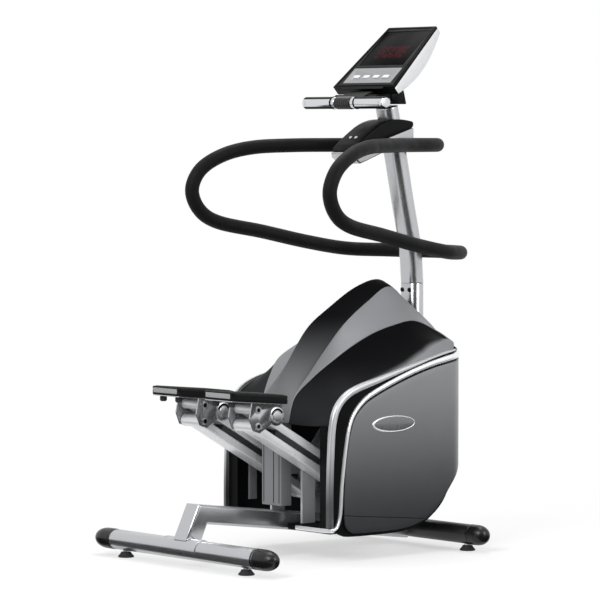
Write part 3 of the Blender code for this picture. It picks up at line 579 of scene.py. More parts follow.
@cached
def grey_edge_rubber(name):
    """Grey rubber nosing along the back of each pedal."""
    return finished(name, linear("#8D8E8F"), (0.15, 5.0), (0.40, 0.52, 12), (1.0, 0.05),
                    Specular_IOR_Level=0.4)


@cached
def display_glass(name):
    """Smoked acrylic window: a patch of dim red lamps shows through its middle."""
    base = linear("#070607")
    material, shader, place = new_finish(name, base, Roughness=0.30, Specular_IOR_Level=0.02)
    move = add_node(material, "ShaderNodeMapping", [("Vector", place)])
    move.inputs["Location"].default_value = tuple(-CONSOLE_BASE)
    turn = add_node(material, "ShaderNodeVectorRotate",
                    [("Vector", move.outputs["Vector"]), ("Angle", -CONSOLE_TILT)],
                    rotation_type="X_AXIS")
    dots = add_node(material, "ShaderNodeTexVoronoi",
                    [("Vector", turn.outputs["Vector"]), ("Scale", 1000 / 5.0),
                     ("Randomness", 0.0)])
    round_dot = add_node(material, "ShaderNodeMapRange",
                         [("Value", dots.outputs["Distance"]), ("From Min", 0.42),
                          ("From Max", 0.28)])
    split = add_node(material, "ShaderNodeSeparateXYZ", [("Vector", turn.outputs["Vector"])])
    wide = add_node(material, "ShaderNodeMath",
                    [(0, split.outputs["X"]), (1, 0.0), (2, 0.062)], operation="COMPARE")
    tall = add_node(material, "ShaderNodeMath",
                    [(0, split.outputs["Y"]), (1, 0.160), (2, 0.026)], operation="COMPARE")
    both = add_node(material, "ShaderNodeMath", [(0, wide.outputs[0]), (1, tall.outputs[0])],
                    operation="MULTIPLY")
    lamps = add_node(material, "ShaderNodeTexWhiteNoise", [], noise_dimensions="3D")
    material.node_tree.links.new(dots.outputs["Position"], lamps.inputs["Vector"])
    lit = add_node(material, "ShaderNodeMath", [(0, lamps.outputs["Value"]), (1, 0.35)],
                   operation="GREATER_THAN")
    some = add_node(material, "ShaderNodeMath", [(0, both.outputs[0]), (1, lit.outputs[0])],
                    operation="MULTIPLY")
    glow = add_node(material, "ShaderNodeMath",
                    [(0, some.outputs[0]), (1, round_dot.outputs["Result"])],
                    operation="MULTIPLY")
    mix = add_node(material, "ShaderNodeMix", [("Factor", glow.outputs[0])], data_type="RGBA")
    mix.inputs[6].default_value = base
    mix.inputs[7].default_value = linear("#56101A")
    link(material, mix.outputs[2], shader, "Base Color")
    link(material, mix.outputs[2], shader, "Emission Color")
    shader.inputs["Emission Strength"].default_value = 0.35
    return material


@cached
def silver_film(name):
    """Silver-printed keypad film."""
    return finished(name, linear("#8B8C8E"), (0.12, 2.0), (0.38, 0.46, 10), Metallic=0.2,
                    Specular_IOR_Level=0.2)


@cached
def key_plastic(name):
    """Pale grey key caps, worn a little smooth."""
    return finished(name, linear("#D5D6D8"), (0.10, 4.0), (0.30, 0.45, 6))


@cached
def pale_shell_paint(name):
    """Pale silver lacquer on the console's back shell."""
    return finished(name, linear("#D2D3D5"), (0.08, 1.6), (0.28, 0.36, 40), (6.0, 0.02),
                    Metallic=0.35, Coat_Weight=0.3, Coat_Roughness=0.12)


@cached
def pale_arm_paint(name):
    """Pale silver enamel on the step arms, which stays bright on every face."""
    return finished(name, linear("#D8D9DB"), (0.08, 1.6), (0.26, 0.34, 60), (5.0, 0.02),
                    Metallic=0.30, Coat_Weight=0.2, Coat_Roughness=0.15)


@cached
def turned_iron(name):
    """Turned cast iron with an oily film."""
    return finished(name, linear("#5A5B5E"), (0.35, 5.0), (0.35, 0.55, 9), (1.4, 0.05),
                    Metallic=0.9)


@cached
def graphite_shaded_copy(name):
    """A darker copy of the shroud's graphite paint, for the walls where they turn under, out of the light:
    painted shade.
    """
    return finished(name, darker(tuple(colours().graphite_shade_colour), 0.6), (0.25, 1.4),
                    (0.38, 0.46, 80), (6.0, 0.04), Metallic=0.2, Specular_IOR_Level=0.2)


@cached
def silver_edge_paint(name):
    """Silver lacquer on the moulded edge of the shell, painted darker low down: painted shade."""
    base = linear("#C4C5C7")
    material, shader, place = new_finish(name, base, Metallic=0.55, Coat_Weight=0.3,
                                         Coat_Roughness=0.2)
    # painted shade: the silver darkens towards the bottom
    shaded = fade(material, place, linear("#5E5F61"), base, 0.16, 0.36)
    vary(material, shader, place, shaded, 0.10, 1.8)
    uneven_gloss(material, shader, place, 0.30, 0.38, 60)
    return material


@cached
def badge_lacquer(name):
    """Grey enamel of the plain badge under a clear dome."""
    return finished(name, linear("#6C6D6F"), (0.12, 2.2), (0.25, 0.33, 20), Metallic=0.4,
                    Coat_Weight=0.8, Coat_Roughness=0.08)


@cached
def recess_paint(name):
    """Black lacquer in the side recess, dusted into graphite paint on the shoulder, and painted greyer low
    down: painted light.
    """
    material, shader, place = new_finish(name, tuple(colours().gloss_black),
                                         Specular_IOR_Level=0.03)
    # painted light: the black turns grey towards the bottom
    low_tone = fade(material, place, linear("#2C2D2E"), tuple(colours().gloss_black), 0.38, 0.60)
    tone = add_node(material, "ShaderNodeAttribute", attribute_name="tone")
    mix = add_node(material, "ShaderNodeMix", [("Factor", tone.outputs["Fac"])],
                   data_type="RGBA")
    material.node_tree.links.new(low_tone, mix.inputs[6])
    mix.inputs[7].default_value = linear("#88898C")
    vary(material, shader, place, mix.outputs[2], 0.15, 1.4)
    uneven_gloss(material, shader, place, 0.46, 0.56, 70)
    return material


@cached
def studio_floor(name):
    """Matt white floor: the plain background to the eye far off, with the shadow kept near."""
    base = linear("#F4F4F4")
    material, shader, place = new_finish(name, base, Roughness=0.9, Specular_IOR_Level=0.0)
    vary(material, shader, place, base, 0.01, 900)
    far = add_node(material, "ShaderNodeVectorMath", [("Vector", place)], operation="LENGTH")
    plain = add_node(material, "ShaderNodeMapRange",
                     [("Value", far.outputs["Value"]), ("From Min", 0.5), ("From Max", 2.2),
                      ("To Min", 0.55), ("To Max", 1.0)], interpolation_type="SMOOTHSTEP")
    ray = add_node(material, "ShaderNodeLightPath")
    seen = add_node(material, "ShaderNodeMath", [(0, ray.outputs["Is Camera Ray"]),
                                                 (1, ray.outputs["Is Glossy Ray"])],
                    operation="MAXIMUM")
    seen = add_node(material, "ShaderNodeMath", [(0, seen.outputs[0]),
                                                 (1, ray.outputs["Is Transmission Ray"])],
                    operation="MAXIMUM")
    share = add_node(material, "ShaderNodeMath", [(0, seen.outputs[0]),
                                                  (1, plain.outputs["Result"])],
                     operation="MULTIPLY")
    white = add_node(material, "ShaderNodeEmission")
    mix = add_node(material, "ShaderNodeMixShader", [(0, share.outputs[0]),
                                                     (1, shader.outputs["BSDF"]),
                                                     (2, white.outputs["Emission"])])
    link(material, mix.outputs["Shader"], material.node_tree.nodes["Material Output"], "Surface")
    return material


@cached
def black_card(name):
    """Black studio card that edges and round metal reflect as a dark line."""
    base = linear("#050505")
    material, shader, place = new_finish(name, base, Roughness=1.0, Specular_IOR_Level=0.0)
    vary(material, shader, place, base, 0.1, 500)
    return material


def pale_world(scene):
    """White to the camera and in reflections, a moderate grey as light."""
    world = bpy.data.worlds.new("studio")
    world.use_nodes = True
    scene.world = world
    nodes = world.node_tree.nodes
    ray = nodes.new("ShaderNodeLightPath")
    first = nodes.new("ShaderNodeMath")
    first.operation = "MAXIMUM"
    second = nodes.new("ShaderNodeMath")
    second.operation = "MAXIMUM"
    strength = nodes.new("ShaderNodeMapRange")
    strength.inputs["To Min"].default_value = 0.55
    strength.inputs["To Max"].default_value = 1.0
    links = world.node_tree.links
    links.new(ray.outputs["Is Camera Ray"], first.inputs[0])
    links.new(ray.outputs["Is Glossy Ray"], first.inputs[1])
    links.new(first.outputs[0], second.inputs[0])
    links.new(ray.outputs["Is Transmission Ray"], second.inputs[1])
    links.new(second.outputs[0], strength.inputs["Value"])
    background = nodes["Background"]
    background.inputs["Color"].default_value = (1.0, 1.0, 1.0, 1.0)
    links.new(strength.outputs["Result"], background.inputs["Strength"])


# base
def floor_tube(end, finish):
    """A floor tube with its wall showing at the open ends."""
    node = f"{end}_stabilizer"
    length = high(node).x - low(node).x
    bpy.ops.mesh.primitive_cylinder_add(vertices=64, radius=TUBE_R, depth=length,
                                        location=middle(node), rotation=AXIS_TURN["X"])
    tube = apply_place(bpy.context.object)
    edit(tube, "FACE", lambda face: abs(face.normal.x) > 0.9,
         lambda: bpy.ops.mesh.inset(thickness=2.5 * MM, use_individual=True),
         lambda: bpy.ops.mesh.extrude_region_shrink_fatten(
             TRANSFORM_OT_shrink_fatten={"value": -12 * MM}))
    rounded(tube, 0.4 * MM, 2)
    settle(paint(tube, finish), f"{end}_floor_tube", stands_for=[node])


def end_cap(end, side, sign):
    """A moulded cap: collar with a shallow groove, then a dome."""
    node = f"{end}_end_cap_{side}"
    inner_x = min(abs(low(node).x), abs(high(node).x))
    tip_x = max(abs(low(node).x), abs(high(node).x))
    collar = inner_x
    radius = TUBE_R + 1.0 * MM
    dome = collar + 0.40 * (tip_x - collar)
    profile = [(TUBE_R - 4 * MM, collar), (radius - 0.8 * MM, collar),
               (radius, collar + 0.8 * MM), (radius, collar + 6 * MM),
               (radius - 1.2 * MM, collar + 6.6 * MM), (radius - 1.2 * MM, collar + 8.4 * MM),
               (radius, collar + 9 * MM), (radius, dome)]
    steps = 10
    for i in range(1, steps + 1):
        share = i / steps * 0.985
        profile.append((radius * (1 - share ** 2) ** 0.42, dome + share * (tip_x - dome)))
    cap = turned(profile, (0.0, middle(node).y, TUBE_Z), "X", flip=sign < 0)
    settle(paint(cap, dark_cap_plastic()), f"{end}_cap_{side}",
           stands_for=[node])


def foot(end, side):
    """A levelling foot: rubber pad, hexagon nut and threaded stud."""
    node = f"foot_{end}_{side}"
    x, y, _z = middle(node)
    pad_r = (high(node).x - low(node).x) / 2
    profile = [(pad_r - 2 * MM, 0.0), (pad_r, 1.2 * MM), (pad_r, 3.6 * MM),
               (pad_r - 1.5 * MM, 5.2 * MM), (0.0165, 12 * MM), (0.0150, 15.5 * MM),
               (0.0120, 16.2 * MM)]
    pad = turned(profile, (x, y, 0.0))
    settle(paint(pad, foot_rubber()), f"foot_pad_{end}_{side}", stands_for=[node])
    nut = rounded(turned([(0.0105, 16.2 * MM), (0.0105, 19.6 * MM)], (x, y, 0.0), steps=6),
                  0.6 * MM, 2)
    stud = [(0.0052, 16.0 * MM)]
    for i in range(10):
        z = (17 + 2 * i) * MM
        stud += [(0.0060, z), (0.0052, z + 1 * MM)]
    bolt = joined([nut, turned(stud, (x, y, 0.0), steps=24)])
    settle(paint(bolt, zinc_steel()), f"foot_bolt_{end}_{side}")


BEAM_REAR = Vector((0.0, -0.470, 0.150))
BEAM_FRONT = Vector((0.0, 0.3425, 0.048))
POST_FOOT = Vector((0.0, -0.505, 0.078))
BEAM_HALF_H = 0.028


def beam():
    """Box-section beam, mitred to the short post over the rear tube."""
    half_w = high("main_beam").x
    section = box_section(half_w, BEAM_HALF_H, 8 * MM, 6)
    down = (POST_FOOT - BEAM_REAR).normalized()
    along = (BEAM_FRONT - BEAM_REAR).normalized()
    mitre = (along - down).normalized()
    rows = []
    stations = ((POST_FOOT + down * 14 * MM, -down, -down), (BEAM_REAR, along, mitre),
                (BEAM_FRONT, along, Vector((0, 1, 0))))
    for point, ahead, cut_by in stations:
        up = Vector((1, 0, 0)).cross(ahead)
        row = []
        for x, h in section:
            raw = point + Vector((x, 0, 0)) + up * h
            row.append(raw - ahead * ((raw - point).dot(cut_by) / ahead.dot(cut_by)))
        rows.append(row)
    bar = skin(rows, ring=True, capped=True)
    rounded(bar, 0.8 * MM, 2, 20)
    settle(paint(bar, silver_powder_coat()), "beam", stands_for=["main_beam"])
    weld_line = []
    for x, h in box_section(half_w + 0.4 * MM, BEAM_HALF_H + 0.4 * MM, 8 * MM, 4):
        up = Vector((1, 0, 0)).cross(-down)
        point = POST_FOOT + Vector((x, 0, 0)) + up * h
        reach = ((TUBE_R + 3.4 * MM) ** 2 - min(abs(point.y - middle("rear_stabilizer").y),
                                                TUBE_R + 2.6 * MM) ** 2) ** 0.5
        weld_line.append(Vector((point.x, point.y, TUBE_Z + reach)))
    weld_line.append(weld_line[0])
    bead = swept(weld_line, round_section(bpy.context.scene.climber_sizes.weld_bead, 8),
                 (0, 0, 1))
    settle(paint(bead, silver_powder_coat()), "post_weld", soft_below=60)


def saddle():
    """Pressed saddle plate over the rear tube."""
    y = middle("rear_stabilizer").y
    outline = []
    for radius, order in ((TUBE_R + 2.8 * MM, 1), (TUBE_R + 0.5 * MM, -1)):
        arc = [(y + radius * cos(radians(t)), TUBE_Z + radius * sin(radians(t)))
               for t in range(-15, 196, 5)]
        outline += arc[::order]
    half = high("rear_saddle").x
    plate = rounded(prism(outline, -half, half), 0.6 * MM, 2)
    settle(paint(plate, silver_powder_coat()), "saddle",
           stands_for=["rear_saddle"])


class CLIMBER_OT_base(bpy.types.Operator):
    """Floor tubes, end caps, feet, beam and saddle"""
    bl_idname = "climber.base"
    bl_label = "Base"

    def execute(self, context):
        floor_tube("rear", silver_powder_coat())
        floor_tube("front", satin_black_enamel())
        for end in ("rear", "front"):
            for side, sign in SIDES:
                end_cap(end, side, sign)
                foot(end, side)
        beam()
        saddle()
        return {"FINISHED"}


# mast
MAST_HALF_D = 0.0265
MAST_ROUND = 0.0240
MAST_LINE = ((0.386, 0.807), (0.376, 0.917), (0.345, 1.059), (0.316, 1.195), (0.289, 1.304),
             (0.2795, 1.344))


def mast_points(steps=8):
    return smooth_line([(0.0, y, z) for y, z in MAST_LINE], steps)


MAST_BOLT_X = 0.016
MAST_BOLT_Z = 0.783


def mast_bolt(side, sign):
    """A button-head screw with a socket, in the mast's rear face."""
    radius = 7 * MM
    tall = radius * 0.5
    centre = (sign * MAST_BOLT_X, MAST_LINE[0][0] - MAST_HALF_D, MAST_BOLT_Z)
    profile = [(radius, 0.0), (radius, tall * 0.3), (radius * 0.9, tall * 0.7),
               (radius * 0.65, tall), (radius * 0.42, tall), (radius * 0.38, tall * 0.35)]
    head = turned(profile, centre, "Y", True, 32)
    settle(paint(head, dark_screw()), f"mast_bolt_{side}")


class CLIMBER_OT_mast(bpy.types.Operator):
    """Lower column, curved mast and the bolts that hold them"""
    bl_idname = "climber.mast"
    bl_label = "Mast"

    def execute(self, context):
        section = box_section(MAST_HALF_W, MAST_HALF_D, MAST_ROUND, 12)
        y = MAST_LINE[0][0]
        foot_z = low("lower_column").z + 4 * MM
        column = swept([Vector((0, y, foot_z)), Vector((0, y, MAST_JOINT_Z - 0.3 * MM))],
                       section, (1, 0, 0))
        rounded(column, 0.9 * MM, 2)
        settle(paint(column, silver_powder_coat()), "mast_lower",
               stands_for=["lower_column"])
        upper = swept([Vector((0, y, MAST_JOINT_Z))] + mast_points(), section, (1, 0, 0))
        rounded(upper, 0.9 * MM, 2)
        settle(paint(upper, silver_powder_coat()), "mast_upper",
               stands_for=["mast"])
        for side, sign in SIDES:
            mast_bolt(side, sign)
        return {"FINISHED"}


# handrail
RAIL_HALF_LINE = ((0.000, 0.462, 1.228), (0.052, 0.442, 1.228), (0.083, 0.385, 1.228),
                  (0.108, 0.300, 1.228), (0.150, 0.190, 1.228), (0.205, 0.075, 1.227),
                  (0.258, -0.035, 1.221), (0.291, -0.125, 1.199), (0.311, -0.199, 1.155),
                  (0.3165, -0.230, 1.092), (0.312, -0.203, 1.030), (0.302, -0.135, 0.992),
                  (0.276, 0.013, 0.963), (0.256, 0.170, 0.930), (0.232, 0.316, 0.906),
                  (0.168, 0.430, 0.900), (0.084, 0.490, 0.898), (0.000, 0.507, 0.898))


class CLIMBER_OT_handrail(bpy.types.Operator):
    """Foam sleeves of the looped rail, one on each side"""
    bl_idname = "climber.handrail"
    bl_label = "Handrail"

    def execute(self, context):
        sizes = context.scene.climber_sizes
        steps = 7
        right = [Vector(p) for p in RAIL_HALF_LINE]
        loop = [Vector((-right[1].x, *right[1][1:]))] + right \
            + [Vector((-right[-2].x, *right[-2][1:]))]
        line = smooth_line(loop, steps)[steps:-steps]
        line[0].x = line[-1].x = 0.3 * MM
        for side, sign in SIDES:
            path = [Vector((sign * p.x, p.y, p.z)) for p in line]
            grip = swept(path, round_section(sizes.grip_radius, 28), (0, 0, 1))
            rounded(grip, 1.0 * MM, 2, 60)
            settle(paint(grip, closed_cell_foam()), f"grip_{side}",
                   stands_for=[f"rail_foam_{side}"], soft_below=50)
        return {"FINISHED"}


# rail cover
LID_TOP = ((0.110, 1.226), (0.158, 1.262), (0.205, 1.290), (0.250, 1.304), (0.300, 1.306),
           (0.346, 1.300))
COVER_SPLIT = ((0.096, 1.206), (0.346, 1.282))
LID_SCREW = (0.012, 0.143, 1.2512)
COVER_BOTTOM = ((0.346, 1.207), (0.215, 1.203), (0.152, 1.180), (0.126, 1.171), (0.100, 1.190))


def cut(obj, tool):
    modify(obj, "BOOLEAN", operation="DIFFERENCE", object=tool, solver="EXACT")
    bpy.data.objects.remove(tool)
    return obj


class CLIMBER_OT_rail_cover(bpy.types.Operator):
    """Clamp cover round the mast: black lid over a silver underside"""
    bl_idname = "climber.rail_cover"
    bl_label = "Rail cover"

    def execute(self, context):
        half = high("rail_cover_lid").x
        top = [(p.y, p.z) for p in smooth_line([(0, *p) for p in LID_TOP], 5)]
        lift = 0.4 * MM
        lid = prism(top + [(COVER_SPLIT[1][0], COVER_SPLIT[1][1] + lift),
                           (COVER_SPLIT[0][0], COVER_SPLIT[0][1] + lift)], -half, half)
        base = prism(list(COVER_BOTTOM) + list(COVER_SPLIT), -half, half)
        tool_section = box_section(MAST_HALF_W + 0.8 * MM, MAST_HALF_D + 0.8 * MM, 14 * MM, 6)
        for obj, width in ((lid, 7 * MM), (base, 5 * MM)):
            rounded(obj, width, 5, 40)
            cut(obj, swept(mast_points(4)[4:], tool_section, (1, 0, 0)))
        settle(paint(lid, textured_abs()), "cover_lid",
               stands_for=["rail_cover_lid"])
        settle(paint(base, silver_powder_coat()), "cover_base",
               stands_for=["rail_cover_base"])
        slope = atan2(LID_TOP[1][1] - LID_TOP[0][1], LID_TOP[1][0] - LID_TOP[0][0])
        for side, sign in SIDES:
            head = turned([(5.2 * MM, -1.0 * MM), (5.2 * MM, 1.2 * MM), (4.2 * MM, 2.0 * MM),
                           (2.2 * MM, 2.0 * MM), (2.0 * MM, 0.8 * MM)], (0, 0, 0), steps=32)
            head.rotation_euler = (slope, 0.0, 0.0)
            head.location = (sign * LID_SCREW[0], *LID_SCREW[1:])
            settle(paint(head, pale_shell_paint()), f"lid_screw_{side}")
        return {"FINISHED"}


# console
CONSOLE_BASE = Vector((0.0, 0.182, 1.405))
CONSOLE_LEN = 0.275
CONSOLE_HALF = (0.138, 0.108)
FACE_T = 6 * MM
SHELL_Z = -FACE_T - 0.3 * MM
NECK = ((0.131, 1.341), (0.240, 1.3525), (0.315, 1.3525), (0.308, 1.380), (0.302, 1.400),
        (0.262, 1.404), (0.240, 1.392), (0.218, 1.378), (0.205, 1.374), (0.193, 1.378),
        (0.180, 1.392), (0.155, 1.384), (0.131, 1.373))
TILT_AXIS = (0.272, 1.378)


def onto_console(obj):
    """Moves a piece made flat, X across, Y up the face and Z out of it, onto the console."""
    obj.matrix_world = Matrix.Translation(CONSOLE_BASE) @ Matrix.Rotation(CONSOLE_TILT, 4, "X")
    return apply_place(obj)


def console_half(up):
    return CONSOLE_HALF[0] + (CONSOLE_HALF[1] - CONSOLE_HALF[0]) * up / CONSOLE_LEN


def console_shell():
    """Back shell, bowed behind the face, with flat crescent sides."""
    rows = []
    steps = 20
    for i in range(steps + 1):
        up = CONSOLE_LEN * i / steps
        share = 1 - i / steps
        depth = 12 * MM + 36 * MM * sin(pi * (0.08 + 0.80 * share))
        half = console_half(up)
        radius = 5 * MM
        row = [Vector((-half, up, SHELL_Z)), Vector((half, up, SHELL_Z))]
        for x_sign, start in ((1, 0), (-1, -90)):
            for k in range(5):
                angle = radians(start - 90 * k / 4)
                row.append(Vector((x_sign * (half - radius) + radius * cos(angle), up,
                                   SHELL_Z - depth + radius + radius * sin(angle))))
        rows.append(row)
    shell = skin(rows, ring=True, capped=True)
    rounded(shell, 1.5 * MM, 3, 40)
    paint(shell, pale_shell_paint()).data.materials.append(textured_abs())
    for face in shell.data.polygons:
        if face.normal.y < -0.5 or face.center.z > SHELL_Z - 2 * MM:
            face.material_index = 1
    settle(onto_console(shell), "console_shell", stands_for=["console_back"])


def console_rim():
    """Raised rim round the face."""
    tall = CONSOLE_LEN
    inset = 4 * MM
    line = [(-console_half(0) + inset, inset), (console_half(0) - inset, inset),
            (console_half(tall) - inset, tall - inset),
            (-console_half(tall) + inset, tall - inset)]
    bpy.ops.mesh.primitive_circle_add(vertices=4, radius=1.0, fill_type="NGON")
    rim = bpy.context.object
    for vertex, (x, y) in zip(rim.data.vertices, line):
        vertex.co = (x, y, -1 * MM)
    edit(rim, "FACE", everything, lambda: bpy.ops.mesh.inset(thickness=5 * MM),
         lambda: bpy.ops.mesh.delete(type="FACE"))
    modify(rim, "SOLIDIFY", thickness=3.2 * MM, offset=1.0)
    point_out(rim)
    box = [vertex.co.z for vertex in rim.data.vertices]
    drop = min(box) + 1 * MM
    for vertex in rim.data.vertices:
        vertex.co.z -= drop
    rounded(rim, 1.2 * MM, 3)
    settle(paint(onto_console(rim), textured_abs()), "console_rim")


def keypad_prints():
    """Printed darker fields above and below the key row."""
    fields = []
    for low_up, high_up in ((0.060, 0.079), (0.023, 0.033)):
        field = between((-0.094, low_up, -0.6 * MM), (0.094, high_up, -0.2 * MM))
        fields.append(rounded(field, 0.15 * MM, 1))
    count = 9
    for i in range(count):
        x = (i - (count - 1) / 2) * 0.0205
        lamp = turned([(1.6 * MM, -0.6 * MM), (1.6 * MM, -0.1 * MM), (1.2 * MM, 0.2 * MM)],
                      (x, 0.0695, 0.0), steps=12)
        fields.append(lamp)
    marks = joined(fields)
    settle(paint(onto_console(marks), black_joints_and_painted_shade()), "keypad_marks")


class CLIMBER_OT_console(bpy.types.Operator):
    """Console: face, rim, window, keypad, keys, back shell and neck"""
    bl_idname = "climber.console"
    bl_label = "Console"

    def execute(self, context):
        console_shell()
        settle(paint(refined("console_face", 0.8 * MM), textured_abs()), "console_bezel",
               stands_for=["console_face"])
        console_rim()
        settle(paint(refined("display_window", 0.4 * MM), display_glass()), "display_glass",
               stands_for=["display_window"])
        settle(paint(refined("keypad_plate", 0.2 * MM, 1), silver_film()), "keypad_film",
               stands_for=["keypad_plate"])
        keypad_prints()
        for i in range(1, 5):
            key = refined(f"key_{i}", 0.7 * MM, 3)
            settle(paint(key, key_plastic()), f"key_cap_{i}", f"key_{i}",
                   stands_for=[f"key_{i}"])
        half = high("console_neck").x
        neck = rounded(prism(NECK, -half, half), 3.5 * MM, 4, 30)
        settle(paint(neck, textured_abs()), "neck",
               stands_for=["console_neck"])
        for side, sign in SIDES:
            cheek = turned([(0.024, 0.0), (0.024, 2.5 * MM), (0.021, 4.5 * MM)],
                           (sign * half, *TILT_AXIS), "X", sign < 0, 40)
            settle(paint(cheek, textured_abs()), f"tilt_cheek_{side}")
        return {"FINISHED"}


# pulse bar
# Share of a sleeve's radius beyond which its top and bottom are black: painted reflection, the dark lines
# polished steel shows there.
SLEEVE_REFLECTION_EDGE = 0.62
# where a ring and the plain band beside it begin and end, out from the middle of the bar
RING = (0.0505, 0.0555)
BAND = (0.0372, 0.0500)
# radii of the clamp: at its ends, between its ribs and on them
CLAMP_RADII = (0.0165, 0.0188, 0.0198)


class CLIMBER_OT_pulse_bar(bpy.types.Operator):
    """Pulse grips: polished sleeves, rings and the ribbed block between them"""
    bl_idname = "climber.pulse_bar"
    bl_label = "Pulse bar"

    def execute(self, context):
        place = (0.0, middle("pulse_bar").y, middle("pulse_bar").z)
        core_r = (high("pulse_bar").z - low("pulse_bar").z) / 2 + 0.4 * MM
        for side, sign in SIDES:
            node = f"pulse_contact_{side}"
            start = min(abs(low(node).x), abs(high(node).x))
            end = max(abs(low(node).x), abs(high(node).x))
            radius = (high(node).z - low(node).z) / 2
            profile = [(core_r, start), (radius - 0.8 * MM, start), (radius, start + 0.8 * MM),
                       (radius, end - 16 * MM), (radius - 0.5 * MM, end - 15.5 * MM),
                       (radius - 0.5 * MM, end - 14.5 * MM), (radius, end - 14 * MM),
                       (radius, end - 3 * MM), (radius - 1.2 * MM, end - 1 * MM),
                       (radius - 4 * MM, end)]
            sleeve = turned(profile, place, "X", sign < 0, 48)
            paint(sleeve, polished_contact())
            sleeve.data.materials.append(textured_abs())
            # painted reflection: the top and bottom of each sleeve take black
            for face in sleeve.data.polygons:
                if abs(face.center.z - place[2]) > SLEEVE_REFLECTION_EDGE * radius:
                    face.material_index = 1
            settle(sleeve, f"pulse_sleeve_{side}", stands_for=[node])
            ring = turned([(core_r, RING[0]), (radius + 0.6 * MM, RING[0]),
                           (radius + 1.2 * MM, RING[0] + MM), (radius + 1.2 * MM, RING[1] - MM),
                           (radius + 0.6 * MM, RING[1]), (core_r, RING[1])], place, "X",
                          sign < 0, 48)
            settle(paint(ring, textured_abs()), f"pulse_ring_{side}")
            band = turned([(core_r, BAND[0]), (radius - 1.0 * MM, BAND[0]),
                           (radius - 0.4 * MM, BAND[0] + 0.8 * MM),
                           (radius - 0.4 * MM, BAND[1] - 0.2 * MM),
                           (core_r, BAND[1])], place, "X", sign < 0, 48)
            settle(paint(band, polished_contact()), f"pulse_band_{side}")
        half = high("bar_block").x
        ribs = 7
        rim, low_r, high_r = CLAMP_RADII
        step = (2 * half - 2 * MM) / ribs
        profile = [(rim, -half)]
        for i in range(ribs):
            x = -half + 1 * MM + i * step
            profile += [(low_r, x), (high_r, x + 0.18 * step), (high_r, x + 0.72 * step),
                        (low_r, x + 0.90 * step)]
        profile.append((rim, half))
        block_piece = turned(profile, place, "X", False, 48)
        tongue = rounded(between((-half + 6 * MM, place[1] + 8 * MM, 1.3425),
                                 (half - 6 * MM, 0.1345, 1.3705)), 3 * MM, 3)
        settle(paint(joined([block_piece, tongue]), dark_cap_plastic()), "bar_clamp",
               stands_for=["bar_block"])
        return {"FINISHED"}


# shroud
NOSE = [(p.x, p.y) for p in smooth_line(
    ((0.243, 0.250, 0), (0.243, 0.298, 0), (0.2345, 0.345, 0), (0.200, 0.387, 0),
     (0.150, 0.423, 0), (0.080, 0.451, 0), (0.000, 0.461, 0)), 6)]
SIDE_X = 0.243
SIDE_REAR = -0.142
COVER_TOP_EDGE = ((-0.160, 0.4035), (-0.1525, 0.4035), (-0.144, 0.432), (-0.122, 0.462),
                  (-0.060, 0.503), (0.036, 0.531), (0.165, 0.563), (0.280, 0.591),
                  (0.346, 0.602), (0.400, 0.611), (0.461, 0.618))
COVER_LOW_EDGE = ((-0.160, 0.103), (-0.135, 0.086), (-0.090, 0.074), (0.108, 0.074),
                  (0.200, 0.092), (0.250, 0.118), (0.290, 0.155), (0.323, 0.204),
                  (0.355, 0.250), (0.400, 0.272), (0.461, 0.290))


def height_at(line, y):
    """Height of an (y, z) line at y."""
    for (y0, z0), (y1, z1) in zip(line, line[1:]):
        if y <= y1:
            return z0 + (z1 - z0) * (y - y0) / (y1 - y0)
    return line[-1][1]


def wall_line():
    """The side wall in plan from its rear edge to the nose, as (run, x, y)."""
    plan = [(SIDE_X, SIDE_REAR)] + NOSE
    run = SIDE_REAR
    line = [(run, *plan[0])]
    for (x0, y0), (x1, y1) in zip(plan, plan[1:]):
        run += ((x1 - x0) ** 2 + (y1 - y0) ** 2) ** 0.5
        line.append((run, x1, y1))
    return line


WALL_LINE = wall_line()
NOSE_RUN = WALL_LINE[-1][0]
# where the panels and bright strips stop, short of the seam down the nose
SEAM_RUN = NOSE_RUN - 0.5 * MM


def on_wall(run, z, out=0.0):
    """A point on the right side wall, at a run along its plan and a distance outwards."""
    if run <= NOSE[0][1]:
        return Vector((SIDE_X + out, run, z))
    for (r0, x0, y0), (r1, x1, y1) in zip(WALL_LINE, WALL_LINE[1:]):
        if run <= r1 or r1 == NOSE_RUN:
            share = (run - r0) / (r1 - r0)
            ahead = Vector((x1 - x0, y1 - y0)).normalized()
            x, y = x0 + (x1 - x0) * share, y0 + (y1 - y0) * share
            return Vector((x + ahead.y * out, y - ahead.x * out, z))
    return None


def mirrored(point, sign):
    """A point of the right side, moved to the side that sign gives."""
    return Vector((sign * point[0], point[1], point[2]))


def wall_strip(line, profile, sign):
    """A moulding laid along a (run, z) line on the side wall.

    profile gives its section at a share of the line, as (across, out) points.
    """
    rows = []
    points = [Vector((*p, 0.0)) for p in line]
    for i, point in enumerate(points):
        ahead = points[min(i + 1, len(points) - 1)] - points[max(i - 1, 0)]
        across = Vector((-ahead.y, ahead.x, 0.0)).normalized()
        row = []
        for a, out in profile(i / (len(points) - 1)):
            spot = point + across * a
            row.append(mirrored(on_wall(min(spot.x, NOSE_RUN), spot.y, out), sign))
        rows.append(row)
    return skin(rows, ring=True, capped=True)


def strip_profile(half, low_out, high_out, steps=4):
    """A flat strip's section with round shoulders."""
    radius = min(half, (high_out - low_out)) * 0.8
    points = [(-half, low_out)]
    for side, start in ((-1, 180), (1, 90)):
        for i in range(steps + 1):
            angle = radians(start - 90 * i / steps)
            points.append((side * (half - radius) + radius * cos(angle),
                           high_out - radius + radius * sin(angle)))
    return points + [(half, low_out)]


